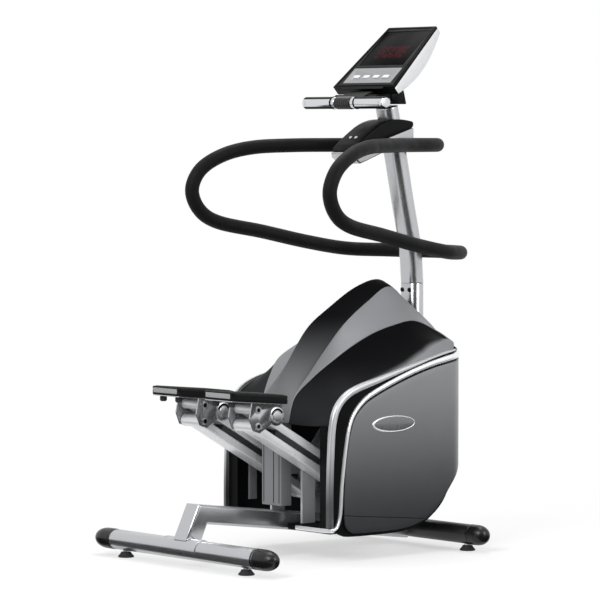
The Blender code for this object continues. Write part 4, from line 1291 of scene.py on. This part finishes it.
OUTER_TRIM = ((0.349, 0.6095), (0.280, 0.5975), (0.165, 0.568), (0.036, 0.533), (-0.060, 0.507),
              (-0.108, 0.481), (-0.137, 0.444), (-0.150, 0.392), (-0.155, 0.320),
              (-0.158, 0.240), (-0.159, 0.170), (-0.159, 0.104))
INNER_TRIM = ((0.616, 0.606), (0.520, 0.604), (0.430, 0.600), (0.337, 0.590), (0.250, 0.574), (0.165, 0.552),
              (0.080, 0.524), (0.010, 0.497), (-0.034, 0.474), (-0.072, 0.438),
              (-0.093, 0.392), (-0.106, 0.330), (-0.114, 0.275), (-0.121, 0.216),
              (-0.124, 0.165), (-0.129, 0.130), (-0.140, 0.106), (-0.157, 0.097))
PANEL_TOP = ((-0.113, 0.190), (-0.107, 0.275), (-0.098, 0.335), (-0.085, 0.392),
             (-0.066, 0.430), (-0.030, 0.463), (0.014, 0.485), (0.084, 0.512), (0.168, 0.539),
             (0.250, 0.560), (0.337, 0.575), (0.430, 0.585), (0.520, 0.592))
PANEL_LOW = ((-0.113, 0.150), (-0.111, 0.118), (-0.102, 0.098), (-0.088, 0.088),
             (-0.060, 0.083), (0.105, 0.083), (0.195, 0.100), (0.235, 0.119), (0.270, 0.147),
             (0.298, 0.178), (0.322, 0.206), (0.345, 0.230), (0.372, 0.251), (0.410, 0.270),
             (0.470, 0.288), (0.520, 0.297))


def soft_chain(points, steps=5):
    return [(p.x, p.y) for p in smooth_line([(*p, 0.0) for p in points], steps)]


def side_cover(side, sign):
    """Wall of the shroud: rear lip, flat side and half of the nose."""
    lip = [(x, -0.157) for x in (0.190, 0.203, 0.216, 0.2265)]
    corner = [(0.2385, -0.1535), (0.2425, -0.146)]
    flat = [(SIDE_X, -0.130 + 0.020 * i) for i in range(19)]
    plan = lip + corner + flat + NOSE[1:]
    plan[-1] = (0.3 * MM, plan[-1][1])
    bottom = soft_chain(COVER_LOW_EDGE, 4)
    steps = 14
    rows = []
    for x, y in plan:
        z0, z1 = height_at(bottom, y), height_at(COVER_TOP_EDGE, y)
        rows.append([Vector((sign * x, y, z0 + (z1 - z0) * k / steps)) for k in range(steps + 1)])
    cover = skin(rows)
    if (cover.data.polygons[len(cover.data.polygons) // 3].normal.x > 0) != (sign > 0):
        edit(cover, "FACE", everything, lambda: bpy.ops.mesh.flip_normals())
    # the wall's nose takes the darker copy of the graphite paint: painted shade
    paint(cover, graphite_shaded_copy())
    for finish in (black_joints_and_painted_shade(), textured_abs()):
        cover.data.materials.append(finish)
    # the inside of the wall takes the black: painted shade
    modify(cover, "SOLIDIFY", thickness=bpy.context.scene.climber_sizes.shell_wall, offset=-1.0,
           material_offset=1)
    for face in cover.data.polygons:
        # painted shade: the flat wall beside the panel, round the groove, is painted black
        if abs(face.normal.x) > 0.9 and face.center.y < 0.30:
            face.material_index = 1
        if face.center.y < -0.145:
            face.material_index = 2
    settle(cover, f"side_wall_{side}", stands_for=[f"side_cover_{side}"])


# from this run to the nose, the panel lies closer and closer to the wall
PANEL_WRAP = 0.34
PANEL_SEAM = ((-0.1185, 0.140), (-0.040, 0.1315), (0.080, 0.1205), (0.205, 0.1085))


def side_panel(side, sign):
    """Large moulded panel, laid on the wall and wrapped round the nose."""
    top, bottom = soft_chain(PANEL_TOP), soft_chain(PANEL_LOW)
    runs = [-0.1125 + 0.0125 * (i / 5) ** 2 for i in range(6)] \
        + [-0.090 + 0.010 * i for i in range(72)]
    runs = [r for r in runs if r < NOSE_RUN - 0.004] + [SEAM_RUN]
    steps = 24
    rows = []
    for run in runs:
        z0, z1 = height_at(bottom, run), height_at(top, run)
        fade_out = min(max((run - PANEL_WRAP) / (NOSE_RUN - PANEL_WRAP), 0.0), 1.0)
        out = PANEL_OUT * (1 - 0.75 * fade_out)
        rows.append([mirrored(on_wall(run, z0 + (z1 - z0) * k / steps, out), sign)
                     for k in range(steps + 1)])
    panel = skin(rows)
    if (panel.data.polygons[0].normal.x > 0) != (sign > 0):
        edit(panel, "FACE", everything, lambda: bpy.ops.mesh.flip_normals())
    modify(panel, "SOLIDIFY", thickness=5.4 * MM, offset=-1.0)
    rounded(panel, 2.2 * MM, 4, 60)
    settle(paint(panel, graphite_flake_paint()), f"panel_{side}",
           stands_for=[f"side_panel_{side}"])
    seam = wall_strip(soft_chain(PANEL_SEAM),
                      lambda _share: strip_profile(1.4 * MM, 5.0 * MM, 6.9 * MM), sign)
    settle(paint(seam, black_joints_and_painted_shade()), f"panel_seam_{side}")


def trims(side, sign):
    """Silver edge of the shell and the bright strip beside the panel."""

    def edge(share):
        half = (2.5 + 7.7 * min(max((share - 0.12) / 0.20, 0.0), 1.0)) * MM
        return strip_profile(half, -12.0 * MM, 3.2 * MM, 6)

    outer = wall_strip(soft_chain(OUTER_TRIM), edge, sign)
    settle(paint(outer, silver_edge_paint()), f"shell_edge_{side}")
    height = bpy.context.scene.climber_sizes.trim_height

    def bright(share):
        bend = min(max((0.58 - share) / 0.16, 0.0), 1.0)
        nose = min(max((0.30 - share) / 0.10, 0.0), 1.0)
        half = (4.5 + 2.8 * bend + 1.9 * nose) * MM
        return strip_profile(half, 0.2 * MM, 4.0 * MM + height, 5)

    inner = wall_strip([(min(run, SEAM_RUN), z) for run, z in soft_chain(INNER_TRIM)
                        if run < NOSE_RUN], bright, sign)
    settle(paint(inner, bright_trim()), f"bright_trim_{side}")


def oval(centre, half_run, half_z):
    """A closed (run, z) oval, its first point given again at the end."""
    steps = 72
    return [(centre[0] + half_run * cos(2 * pi * i / steps),
             centre[1] + half_z * sin(2 * pi * i / steps)) for i in range(steps + 1)]


BADGE = (0.083, 0.400)
BADGE_HALF = (0.0845, 0.025)
PANEL_OUT = 6.6 * MM


def badge(side, sign):
    """A plain oval badge: a domed field in a bright ring."""
    rings = []
    for share, out in ((1.0, -0.4), (1.0, 0.7), (0.985, 1.2), (0.93, 1.45), (0.7, 1.9),
                       (0.4, 2.15), (0.12, 2.2)):
        points = oval(BADGE, BADGE_HALF[0] * share - 3 * MM, BADGE_HALF[1] * share - 3 * MM)
        rings.append([mirrored((SIDE_X + PANEL_OUT + out * MM, *p), sign) for p in points[:-1]])
    field = skin(rings, ring=True, capped=True)
    settle(paint(field, badge_lacquer()), f"badge_field_{side}")

    def section(share):
        half = (1.4 + 2.4 * (0.5 - 0.5 * cos(2 * pi * share)) ** 2) * MM
        return strip_profile(half, PANEL_OUT - 0.4 * MM, PANEL_OUT + 3.0 * MM, 4)

    ring = wall_strip(oval(BADGE, BADGE_HALF[0] - 2.4 * MM, BADGE_HALF[1] - 2.4 * MM), section,
                      sign)
    settle(paint(ring, bright_trim()), f"badge_ring_{side}")


# hood stations from the front down to the rear: centre, ridge, crease and edge
HOOD = (
    ((0.000, 0.460, 0.6335), (0.050, 0.457, 0.633), (0.130, 0.434, 0.628), (0.236, 0.338, 0.6125)),
    ((0.000, 0.430, 0.676), (0.050, 0.425, 0.672), (0.125, 0.375, 0.662), (0.236, 0.300, 0.602)),
    ((0.000, 0.330, 0.765), (0.040, 0.325, 0.752), (0.120, 0.288, 0.696), (0.236, 0.225, 0.583)),
    ((0.000, 0.250, 0.818), (0.030, 0.260, 0.797), (0.120, 0.202, 0.686), (0.236, 0.150, 0.563)),
    ((0.000, 0.150, 0.797), (0.032, 0.170, 0.752), (0.120, 0.116, 0.664), (0.236, 0.080, 0.547)),
    ((0.000, 0.041, 0.737), (0.036, 0.075, 0.690), (0.120, 0.031, 0.629), (0.236, 0.000, 0.526)),
    ((0.000, -0.040, 0.682), (0.042, -0.002, 0.621), (0.120, -0.053, 0.585),
     (0.236, -0.065, 0.505)),
    ((0.000, -0.105, 0.600), (0.056, -0.084, 0.546), (0.096, -0.108, 0.536),
     (0.236, -0.115, 0.474)),
    ((0.000, -0.160, 0.510), (0.067, -0.152, 0.482), (0.072, -0.153, 0.481),
     (0.234, -0.128, 0.440)),
    ((0.000, -0.182, 0.405), (0.068, -0.177, 0.405), (0.070, -0.177, 0.405),
     (0.230, -0.138, 0.405)),
)
HOOD_STEPS = 6
# how far the dark recess reaches from crease to edge at each station
RECESS = (0.0, 0.50, 0.80, 0.92, 0.98, 1.0, 1.0, 1.0, 1.0, 1.0)


def hood_line(index):
    """One of the hood's long lines, smooth from front to rear."""
    return smooth_line([station[index] for station in HOOD], HOOD_STEPS)


def shell_piece(rows, finish, outward, tone=None):
    """A sheet of the hood, given its wall and a black inside as painted shade."""
    sheet = skin(rows)
    face = sheet.data.polygons[len(sheet.data.polygons) // 2]
    if face.normal.dot(outward) < 0:
        edit(sheet, "FACE", everything, lambda: bpy.ops.mesh.flip_normals())
    if tone is not None:
        layer = sheet.data.attributes.new("tone", "FLOAT", "POINT")
        for vertex, value in zip(sheet.data.vertices, tone):
            layer.data[vertex.index].value = value
    paint(sheet, finish)
    sheet.data.materials.append(black_joints_and_painted_shade())
    modify(sheet, "SOLIDIFY", thickness=bpy.context.scene.climber_sizes.shell_wall, offset=-1.0,
           material_offset=1)
    rounded(sheet, 0.7 * MM, 2, 60)
    return sheet


def spine_band():
    """Crowned black band along the top of the hood."""
    centre, ridge = hood_line(0), hood_line(1)
    rows = []
    steps = 8
    for mid, edge in zip(centre, ridge):
        row = []
        for k in range(-steps, steps + 1):
            t = abs(k) / steps
            sign = 1 if k >= 0 else -1
            point = mid.lerp(edge, t) + (mid - edge) * 0.28 * t * (1 - t)
            row.append(Vector((sign * edge.x * t, point.y, point.z)))
        rows.append(row)
    band = shell_piece(rows, gloss_black_band(), Vector((0, -0.5, 0.8)))
    tool = swept([Vector((0.0, 0.386, 0.55)), Vector((0.0, 0.386, 0.85))],
                 box_section(MAST_HALF_W + 1.5 * MM, MAST_HALF_D + 1.5 * MM, 15 * MM, 6),
                 (1, 0, 0))
    cut(band, tool)
    settle(band, "hood_spine", stands_for=["hood"])


def hood_side(side, sign):
    """Grey crescent and dark recess of one side of the hood."""
    ridge, crease, edge = hood_line(1), hood_line(2), hood_line(3)
    steps = 8
    rows = []
    for a, b in zip(ridge, crease):
        rows.append([mirrored(a.lerp(b, k / steps), sign) for k in range(steps + 1)])
    outward = Vector((sign * 0.8, 0.0, 0.6))
    for row in rows:
        span = (row[-1] - row[0]).length
        for k, point in enumerate(row):
            t = k / steps
            row[k] = point - outward * min(0.10 * span, 6 * MM) * 4 * t * (1 - t)
    # the crescent takes the lighter copy of the graphite paint: painted light
    crescent = shell_piece(rows, graphite_painted_light(), outward)
    settle(crescent, f"hood_crescent_{side}")
    steps = 20
    rows, tone = [], []
    for i, (b, c) in enumerate(zip(crease, edge)):
        at = i / HOOD_STEPS
        k0 = min(int(at), len(RECESS) - 2)
        reach = RECESS[k0] + (RECESS[k0 + 1] - RECESS[k0]) * (at - k0)
        row = []
        span = (c - b).length
        for k in range(steps + 1):
            t = k / steps
            point = mirrored(b.lerp(c, t), sign)
            sink = 0.0
            if reach > 0.05 and t < reach:
                s = t / reach
                sink = min(9 * MM, 0.10 * span) * sin(pi * min(s * 0.9 + 0.08, 1.0))
            swell = 0.05 * span * sin(pi * t) * (1 - reach)
            row.append(point - outward * sink + outward * swell)
            width = 0.10 + 0.12 * (1 - reach)
            shoulder = min(max((t - reach + width) / (1.3 * width), 0.0), 1.0)
            if reach >= 0.999:
                shoulder = 0.0
            tone.append(shoulder ** 1.5)
        rows.append(row)
    recess = shell_piece(rows, recess_paint(), outward, tone)
    settle(recess, f"hood_recess_{side}")


SILL_LINE = ((0.2495, -0.1545, 0.0975), (0.2430, -0.1580, 0.0965), (0.225, -0.1595, 0.0955),
             (0.190, -0.1600, 0.0945), (0.086, -0.1600, 0.0940))
# corners of the pan under a slot and of the liner beside it
SLOT_PAN = ((0.038, -0.154, 0.084), (0.232, -0.040, 0.102))
SLOT_LINER = ((0.190, -0.110, 0.152), (0.197, -0.079, 0.395))


def slot_parts(side, sign):
    """Bright sill under the arm's slot, the black pan behind it as painted shade, and the slot's liner."""
    line = smooth_line([mirrored(point, sign) for point in SILL_LINE], 6)
    sill = rounded(swept(line, box_section(4.0 * MM, 6.5 * MM, 3.0 * MM, 4), (0, 1, 0)),
                   0.8 * MM, 2)
    settle(paint(sill, bright_trim()), f"sill_{side}")
    # the black pan stands for the shade under the slot: painted shade
    pan = rounded(between(*(mirrored(corner, sign) for corner in SLOT_PAN)), 4 * MM, 3)
    settle(paint(pan, black_joints_and_painted_shade()), f"slot_pan_{side}")
    liner = rounded(between(*(mirrored(corner, sign) for corner in SLOT_LINER)), 2.5 * MM, 3)
    # the liner takes the lighter copy of the graphite paint: painted light
    settle(paint(liner, graphite_painted_light()), f"slot_liner_{side}")


class CLIMBER_OT_shroud(bpy.types.Operator):
    """Hood, side walls, panels, trim strips, badges and rear column"""
    bl_idname = "climber.shroud"
    bl_label = "Shroud"

    def execute(self, context):
        spine_band()
        for side, sign in SIDES:
            hood_side(side, sign)
            side_cover(side, sign)
            side_panel(side, sign)
            trims(side, sign)
            badge(side, sign)
            slot_parts(side, sign)
        # the rear column takes the lighter copy of the graphite paint: painted light
        column = refined("rear_column_cover", 2.0 * MM, 3)
        settle(paint(column, graphite_painted_light()), "rear_column",
               stands_for=["rear_column_cover"])
        rear = low("rear_column_cover").y
        half = high("rear_column_cover").x
        z0, z1 = low("rear_column_cover").z, high("rear_column_cover").z
        seams = [rounded(between((x - 1.2 * MM, rear - 0.9 * MM, z0 + 8 * MM),
                                 (x + 1.2 * MM, rear + 0.5 * MM, z1 - 6 * MM)), 0.4 * MM, 2)
                 for x in (0.010, -half + 9 * MM, half - 9 * MM)]
        settle(paint(joined(seams), black_joints_and_painted_shade()), "column_seams")
        return {"FINISHED"}


# pedals and arms
def arm(name, side, sign):
    """A rounded bar with a turned boss at each end; the lower one carries a black pad."""
    node = f"{name}_arm_{side}"
    joint = f"step_{side}" if name == "upper" else f"lower_arm_{side}_pivot"
    pivot = joint_place(joint)
    far = joint_place(f"pedal_{side}_pivot")
    if name == "lower":
        far = far + pivot - joint_place(f"step_{side}")
    centre = sign * PEDAL_X
    line = [Vector((centre, p.y, p.z)) for p in (pivot, pivot.lerp(far, 0.5), far)]
    bar = swept(line, box_section(0.0335, 0.0118, 4.5 * MM, 5), (1, 0, 0))
    boss_r = 0.0148 if name == "upper" else 0.0182
    pieces = [bar]
    for end in (pivot, far):
        for flip in (1, -1):
            pieces.append(turned([(boss_r, 0.0325), (boss_r, 0.0418), (boss_r - 1.1 * MM, 0.0429),
                                  (0.0098, 0.0429), (0.0090, 0.0420)],
                                 (centre, end.y, end.z), "X", flip < 0, 48))
        pieces.append(turned([(boss_r, -0.0330), (boss_r, 0.0330)], (centre, end.y, end.z), "X",
                             False, 48))
    settle(paint(joined(pieces), pale_arm_paint()), f"{name}_bar_{side}",
           node, stands_for=[node])
    if name == "lower":
        ahead = (far - pivot).normalized()
        up = Vector((0.0, -ahead.z, ahead.y)) * (1 if ahead.y > 0 else -1)
        start, end = pivot.lerp(far, 0.14), pivot.lerp(far, 0.83)
        pad = swept([Vector((centre, p.y, p.z)) + up * 20.2 * MM for p in (start, end)],
                    box_section(0.0300, 7.6 * MM, 2.0 * MM, 4), (1, 0, 0))
        settle(paint(pad, foot_rubber()), f"arm_pad_{side}", node)


# the tread falls towards the front: its rise per metre, the same as an angle, its depth in mm
TREAD_SLOPE = -0.090
TREAD_TILT = -0.0898
TREAD_THICK = 0.027 / MM


def pedal(side):
    """Ribbed rubber tread on its plate, with a grey nosing along the back."""
    node = f"pedal_{side}"
    sizes = bpy.context.scene.climber_sizes
    lo, hi = low(node), high(node)
    centre = (lo.x + hi.x) / 2
    half_x, half_y = (hi.x - lo.x) / 2, (hi.y - lo.y) / 2
    mid_y = (lo.y + hi.y) / 2

    def top_at(y):
        return hi.z + TREAD_SLOPE * (y - lo.y)

    outline = box_section(half_x, half_y, 14 * MM, 8)
    rows = []
    for inset, drop in ((2.0, TREAD_THICK), (0.6, TREAD_THICK - 0.8), (0.0, TREAD_THICK - 2.2),
                        (0.0, 13.0), (1.2, 12.4), (1.2, 11.0), (0.0, 10.4), (0.0, 4.0),
                        (0.8, 2.2), (2.6, 1.3)):
        row = []
        for x, y in outline:
            share = 1 - inset * MM / half_x
            y_at = mid_y + y * share
            row.append(Vector((centre + x * share, y_at, top_at(y_at) - drop * MM)))
        rows.append(row)
    pad = skin(rows, ring=True, capped=True)
    ribs = []
    count = int((2 * half_y - 26 * MM) / sizes.tread_pitch)
    for i in range(count + 1):
        y = lo.y + 13 * MM + i * sizes.tread_pitch
        rib = block((2 * half_x - 20 * MM, sizes.tread_pitch * 0.58, 2.4 * MM),
                    (centre, y, top_at(y) - 1.2 * MM), (TREAD_TILT, 0.0, 0.0))
        ribs.append(rounded(rib, 0.6 * MM, 2))
    settle(paint(joined([pad] + ribs), ribbed_rubber()), f"tread_{side}", node,
           stands_for=[node])
    nosing = rounded(block((2 * half_x - 24 * MM, 4.0 * MM, 15 * MM),
                           (centre, lo.y + 1.6 * MM, top_at(lo.y) - 13.5 * MM)), 1.2 * MM, 3)
    settle(paint(nosing, grey_edge_rubber()), f"nosing_{side}", node)


# places on a pedal bracket: its plates' outer faces, hub (Y, Z) and bumper (X, Y, Z)
BRACKET_HALF = 0.0500
HUB = (-0.310, 0.4385)
BUMPER = (0.036, -0.468, 0.4870)


def bracket(side, sign):
    """Welded bracket under a pedal, with its hub, pins and bumpers."""
    body = f"pedal_{side}"
    node = f"pedal_bracket_{side}"
    plate = refined(node, 0.8 * MM, 2)
    settle(paint(plate, silver_powder_coat()), f"bracket_{side}", body,
           stands_for=[node])
    pivot = joint_place(f"pedal_{side}_pivot")
    drop = joint_place(f"step_{side}").z - joint_place(f"lower_arm_{side}_pivot").z
    centre = sign * PEDAL_X
    # dark holds painted shade: black crescents beside the hubs and black pin bores
    bright, dark, rubber = [], [], []
    for flip in (1, -1):
        x = centre + flip * BRACKET_HALF
        bright.append(turned([(0.0275, -0.5 * MM), (0.0275, 2.4 * MM), (0.0262, 3.2 * MM),
                              (0.0160, 3.2 * MM), (0.0150, 4.6 * MM), (0.0120, 5.2 * MM)],
                             (x, *HUB), "X", flip < 0, 48))
        arc = [Vector((x + flip * 2.6 * MM, HUB[0] + 0.0205 * cos(radians(t)),
                       HUB[1] + 0.0205 * sin(radians(t)))) for t in range(25, 166, 10)]
        dark.append(swept(arc, round_section(3.2 * MM, 10), (1, 0, 0)))
        for z in (pivot.z, pivot.z - drop):
            bright.append(turned([(0.0105, -0.5 * MM), (0.0105, 1.6 * MM), (0.0092, 2.6 * MM),
                                  (0.0062, 2.6 * MM)], (x, pivot.y, z), "X", flip < 0, 40))
            dark.append(turned([(0.0064, 1.0 * MM), (0.0064, 2.75 * MM)], (x, pivot.y, z), "X",
                               flip < 0, 32))
    for flip in (1, -1):
        rubber.append(turned([(0.0085, 0.0), (0.0105, 1.0 * MM), (0.0105, 11 * MM),
                              (0.0090, 14 * MM), (0.0055, 15.5 * MM)],
                             (centre + flip * BUMPER[0], *BUMPER[1:]), "Z", False, 32))
    for bumper in rubber:
        for vertex in bumper.data.vertices:
            vertex.co.z = 2 * BUMPER[2] - vertex.co.z
        point_out(bumper)
    settle(paint(joined(bright), zinc_steel()), f"pin_ends_{side}", body)
    # painted shade: the black crescents and pin bores
    settle(paint(joined(dark), black_joints_and_painted_shade()), f"pin_bores_{side}", body)
    settle(paint(joined(rubber), foot_rubber()), f"bumpers_{side}", body)


class CLIMBER_OT_steps(bpy.types.Operator):
    """Pedals, brackets and the arms that carry them"""
    bl_idname = "climber.steps"
    bl_label = "Pedals and arms"

    def execute(self, context):
        for side, sign in SIDES:
            for name in ("upper", "lower"):
                arm(name, side, sign)
            bracket(side, sign)
            pedal(side)
        return {"FINISHED"}


# parts that keep the frame's own shape
class CLIMBER_OT_mechanism(bpy.types.Operator):
    """Finishes for the frame parts that keep their shape"""
    bl_idname = "climber.mechanism"
    bl_label = "Drive finishes"

    def execute(self, context):
        finishes = {
            # the frame uprights take the console shell's paler lacquer so that they read bright: painted
            # light
            "frame_upright_left": pale_shell_paint, "frame_upright_right": pale_shell_paint,
            "pivot_shaft_upper": zinc_steel, "pivot_shaft_lower": zinc_steel,
            "drive_shaft": zinc_steel, "drive_pulley": dark_cap_plastic,
            "drive_belt": foot_rubber, "flywheel": turned_iron,
            "strap_drum_left": zinc_steel, "strap_drum_right": zinc_steel,
            "return_spring_left": zinc_steel, "return_spring_right": zinc_steel,
            "rail_tube": zinc_steel, "pulse_bar": zinc_steel,
        }
        for node, finish in finishes.items():
            paint(frame["nodes"][node], finish())
        return {"FINISHED"}


# stage
CAMERA_PLACE = (7.9368995, -6.92081669, 1.27400725)
CAMERA_TURN = 49.202765
CAMERA_DROP = 2.7813
CAMERA_LENS = 210.056
# area lamps: name, place, the point each faces, width in metres and power in watts
LAMPS = (("key_lamp", (1.2, -4.2, 3.4), (0, 0, 0.8), 2.6, 150),
         ("side_lamp", (4.6, 1.4, 2.6), (0, 0, 0.7), 2.2, 95),
         ("top_lamp", (-1.0, 0.6, 4.6), (0, 0, 0.5), 3.0, 90))


class CLIMBER_OT_stage(bpy.types.Operator):
    """Floor, soft studio light and camera"""
    bl_idname = "climber.stage"
    bl_label = "Stage"

    def execute(self, context):
        scene = context.scene
        bpy.ops.mesh.primitive_plane_add(size=60, location=(0, 0, -0.5 * MM))
        floor = bpy.context.object
        floor.name = "floor"
        paint(floor, studio_floor())
        turn, drop = radians(CAMERA_TURN), radians(CAMERA_DROP)
        away = Vector((sin(turn), -cos(turn), 0.0))
        # cards seen only in reflections, where they draw the dark lines on metal and lacquer
        for name, place, tilt, spin, extent in (
                ("dark_card", away * 13 + Vector((0, 0, 3.4)), pi / 2, turn, (19.0, 9.0)),
                ("dark_mat", away * 8 + Vector((0, 0, 1 * MM)), 0.0, turn, (5.5, 13.4)),
                ("side_mat", Vector((2.2, 1.3, 1 * MM)), 0.0, 0.0, (3.7, 3.6)),
                ("tube_mat", Vector((-0.35, -0.97, 1 * MM)), 0.0, 0.0, (1.7, 0.86))):
            bpy.ops.mesh.primitive_plane_add(size=1, location=place, rotation=(tilt, 0.0, spin))
            card = bpy.context.object
            card.name = name
            card.scale = (*extent, 1.0)
            card.visible_camera = card.visible_diffuse = card.visible_shadow = False
            paint(card, black_card())
        for name, place, at, width, power in LAMPS:
            bpy.ops.object.light_add(type="AREA", location=place)
            lamp = bpy.context.object
            lamp.name = name
            lamp.data.shape = "DISK"
            lamp.data.size = width
            lamp.data.energy = power
            aim = Vector(at) - Vector(place)
            lamp.rotation_euler = aim.to_track_quat("-Z", "Y").to_euler()
        pale_world(scene)
        ahead = Vector((-sin(turn) * cos(drop), cos(turn) * cos(drop), -sin(drop)))
        across = Vector((cos(turn), sin(turn), 0.0))
        up = across.cross(ahead)
        bpy.ops.object.camera_add()
        camera = bpy.context.object
        camera.name = "camera"
        camera.matrix_world = Matrix.Translation(CAMERA_PLACE) @ Matrix(
            (across, up, -ahead)).transposed().to_4x4()
        camera.data.lens = CAMERA_LENS
        camera.data.sensor_width = 36.0
        camera.data.clip_end = 100.0
        scene.camera = camera
        scene.view_settings.view_transform = "Standard"
        return {"FINISHED"}


OPERATORS = (CLIMBER_OT_base, CLIMBER_OT_mast, CLIMBER_OT_handrail, CLIMBER_OT_rail_cover,
             CLIMBER_OT_console, CLIMBER_OT_pulse_bar, CLIMBER_OT_shroud, CLIMBER_OT_steps,
             CLIMBER_OT_mechanism, CLIMBER_OT_stage)


class CLIMBER_PT_build(bpy.types.Panel):
    """Sizes, colours and one button for each group of pieces"""
    bl_label = "Stair climber"
    bl_idname = "CLIMBER_PT_build"
    bl_space_type = "VIEW_3D"
    bl_region_type = "UI"
    bl_category = "Climber"

    def draw(self, context):
        for group in (context.scene.climber_sizes, context.scene.climber_colours):
            box = self.layout.box()
            for key in group.__annotations__:
                box.prop(group, key)
        for operator in OPERATORS:
            self.layout.operator(operator.bl_idname)


CLASSES = (ClimberSizes, ClimberColours) + OPERATORS + (CLIMBER_PT_build,)


def register():
    for kind in CLASSES:
        bpy.utils.register_class(kind)
    bpy.types.Scene.climber_sizes = bpy.props.PointerProperty(type=ClimberSizes)
    bpy.types.Scene.climber_colours = bpy.props.PointerProperty(type=ClimberColours)


def unregister():
    del bpy.types.Scene.climber_colours
    del bpy.types.Scene.climber_sizes
    for kind in reversed(CLASSES):
        bpy.utils.unregister_class(kind)


def main():
    register()
    bpy.ops.object.select_all(action="DESELECT")
    for operator in OPERATORS:
        group, name = operator.bl_idname.split(".")
        getattr(getattr(bpy.ops, group), name)()


if __name__ == "__main__":
    main()
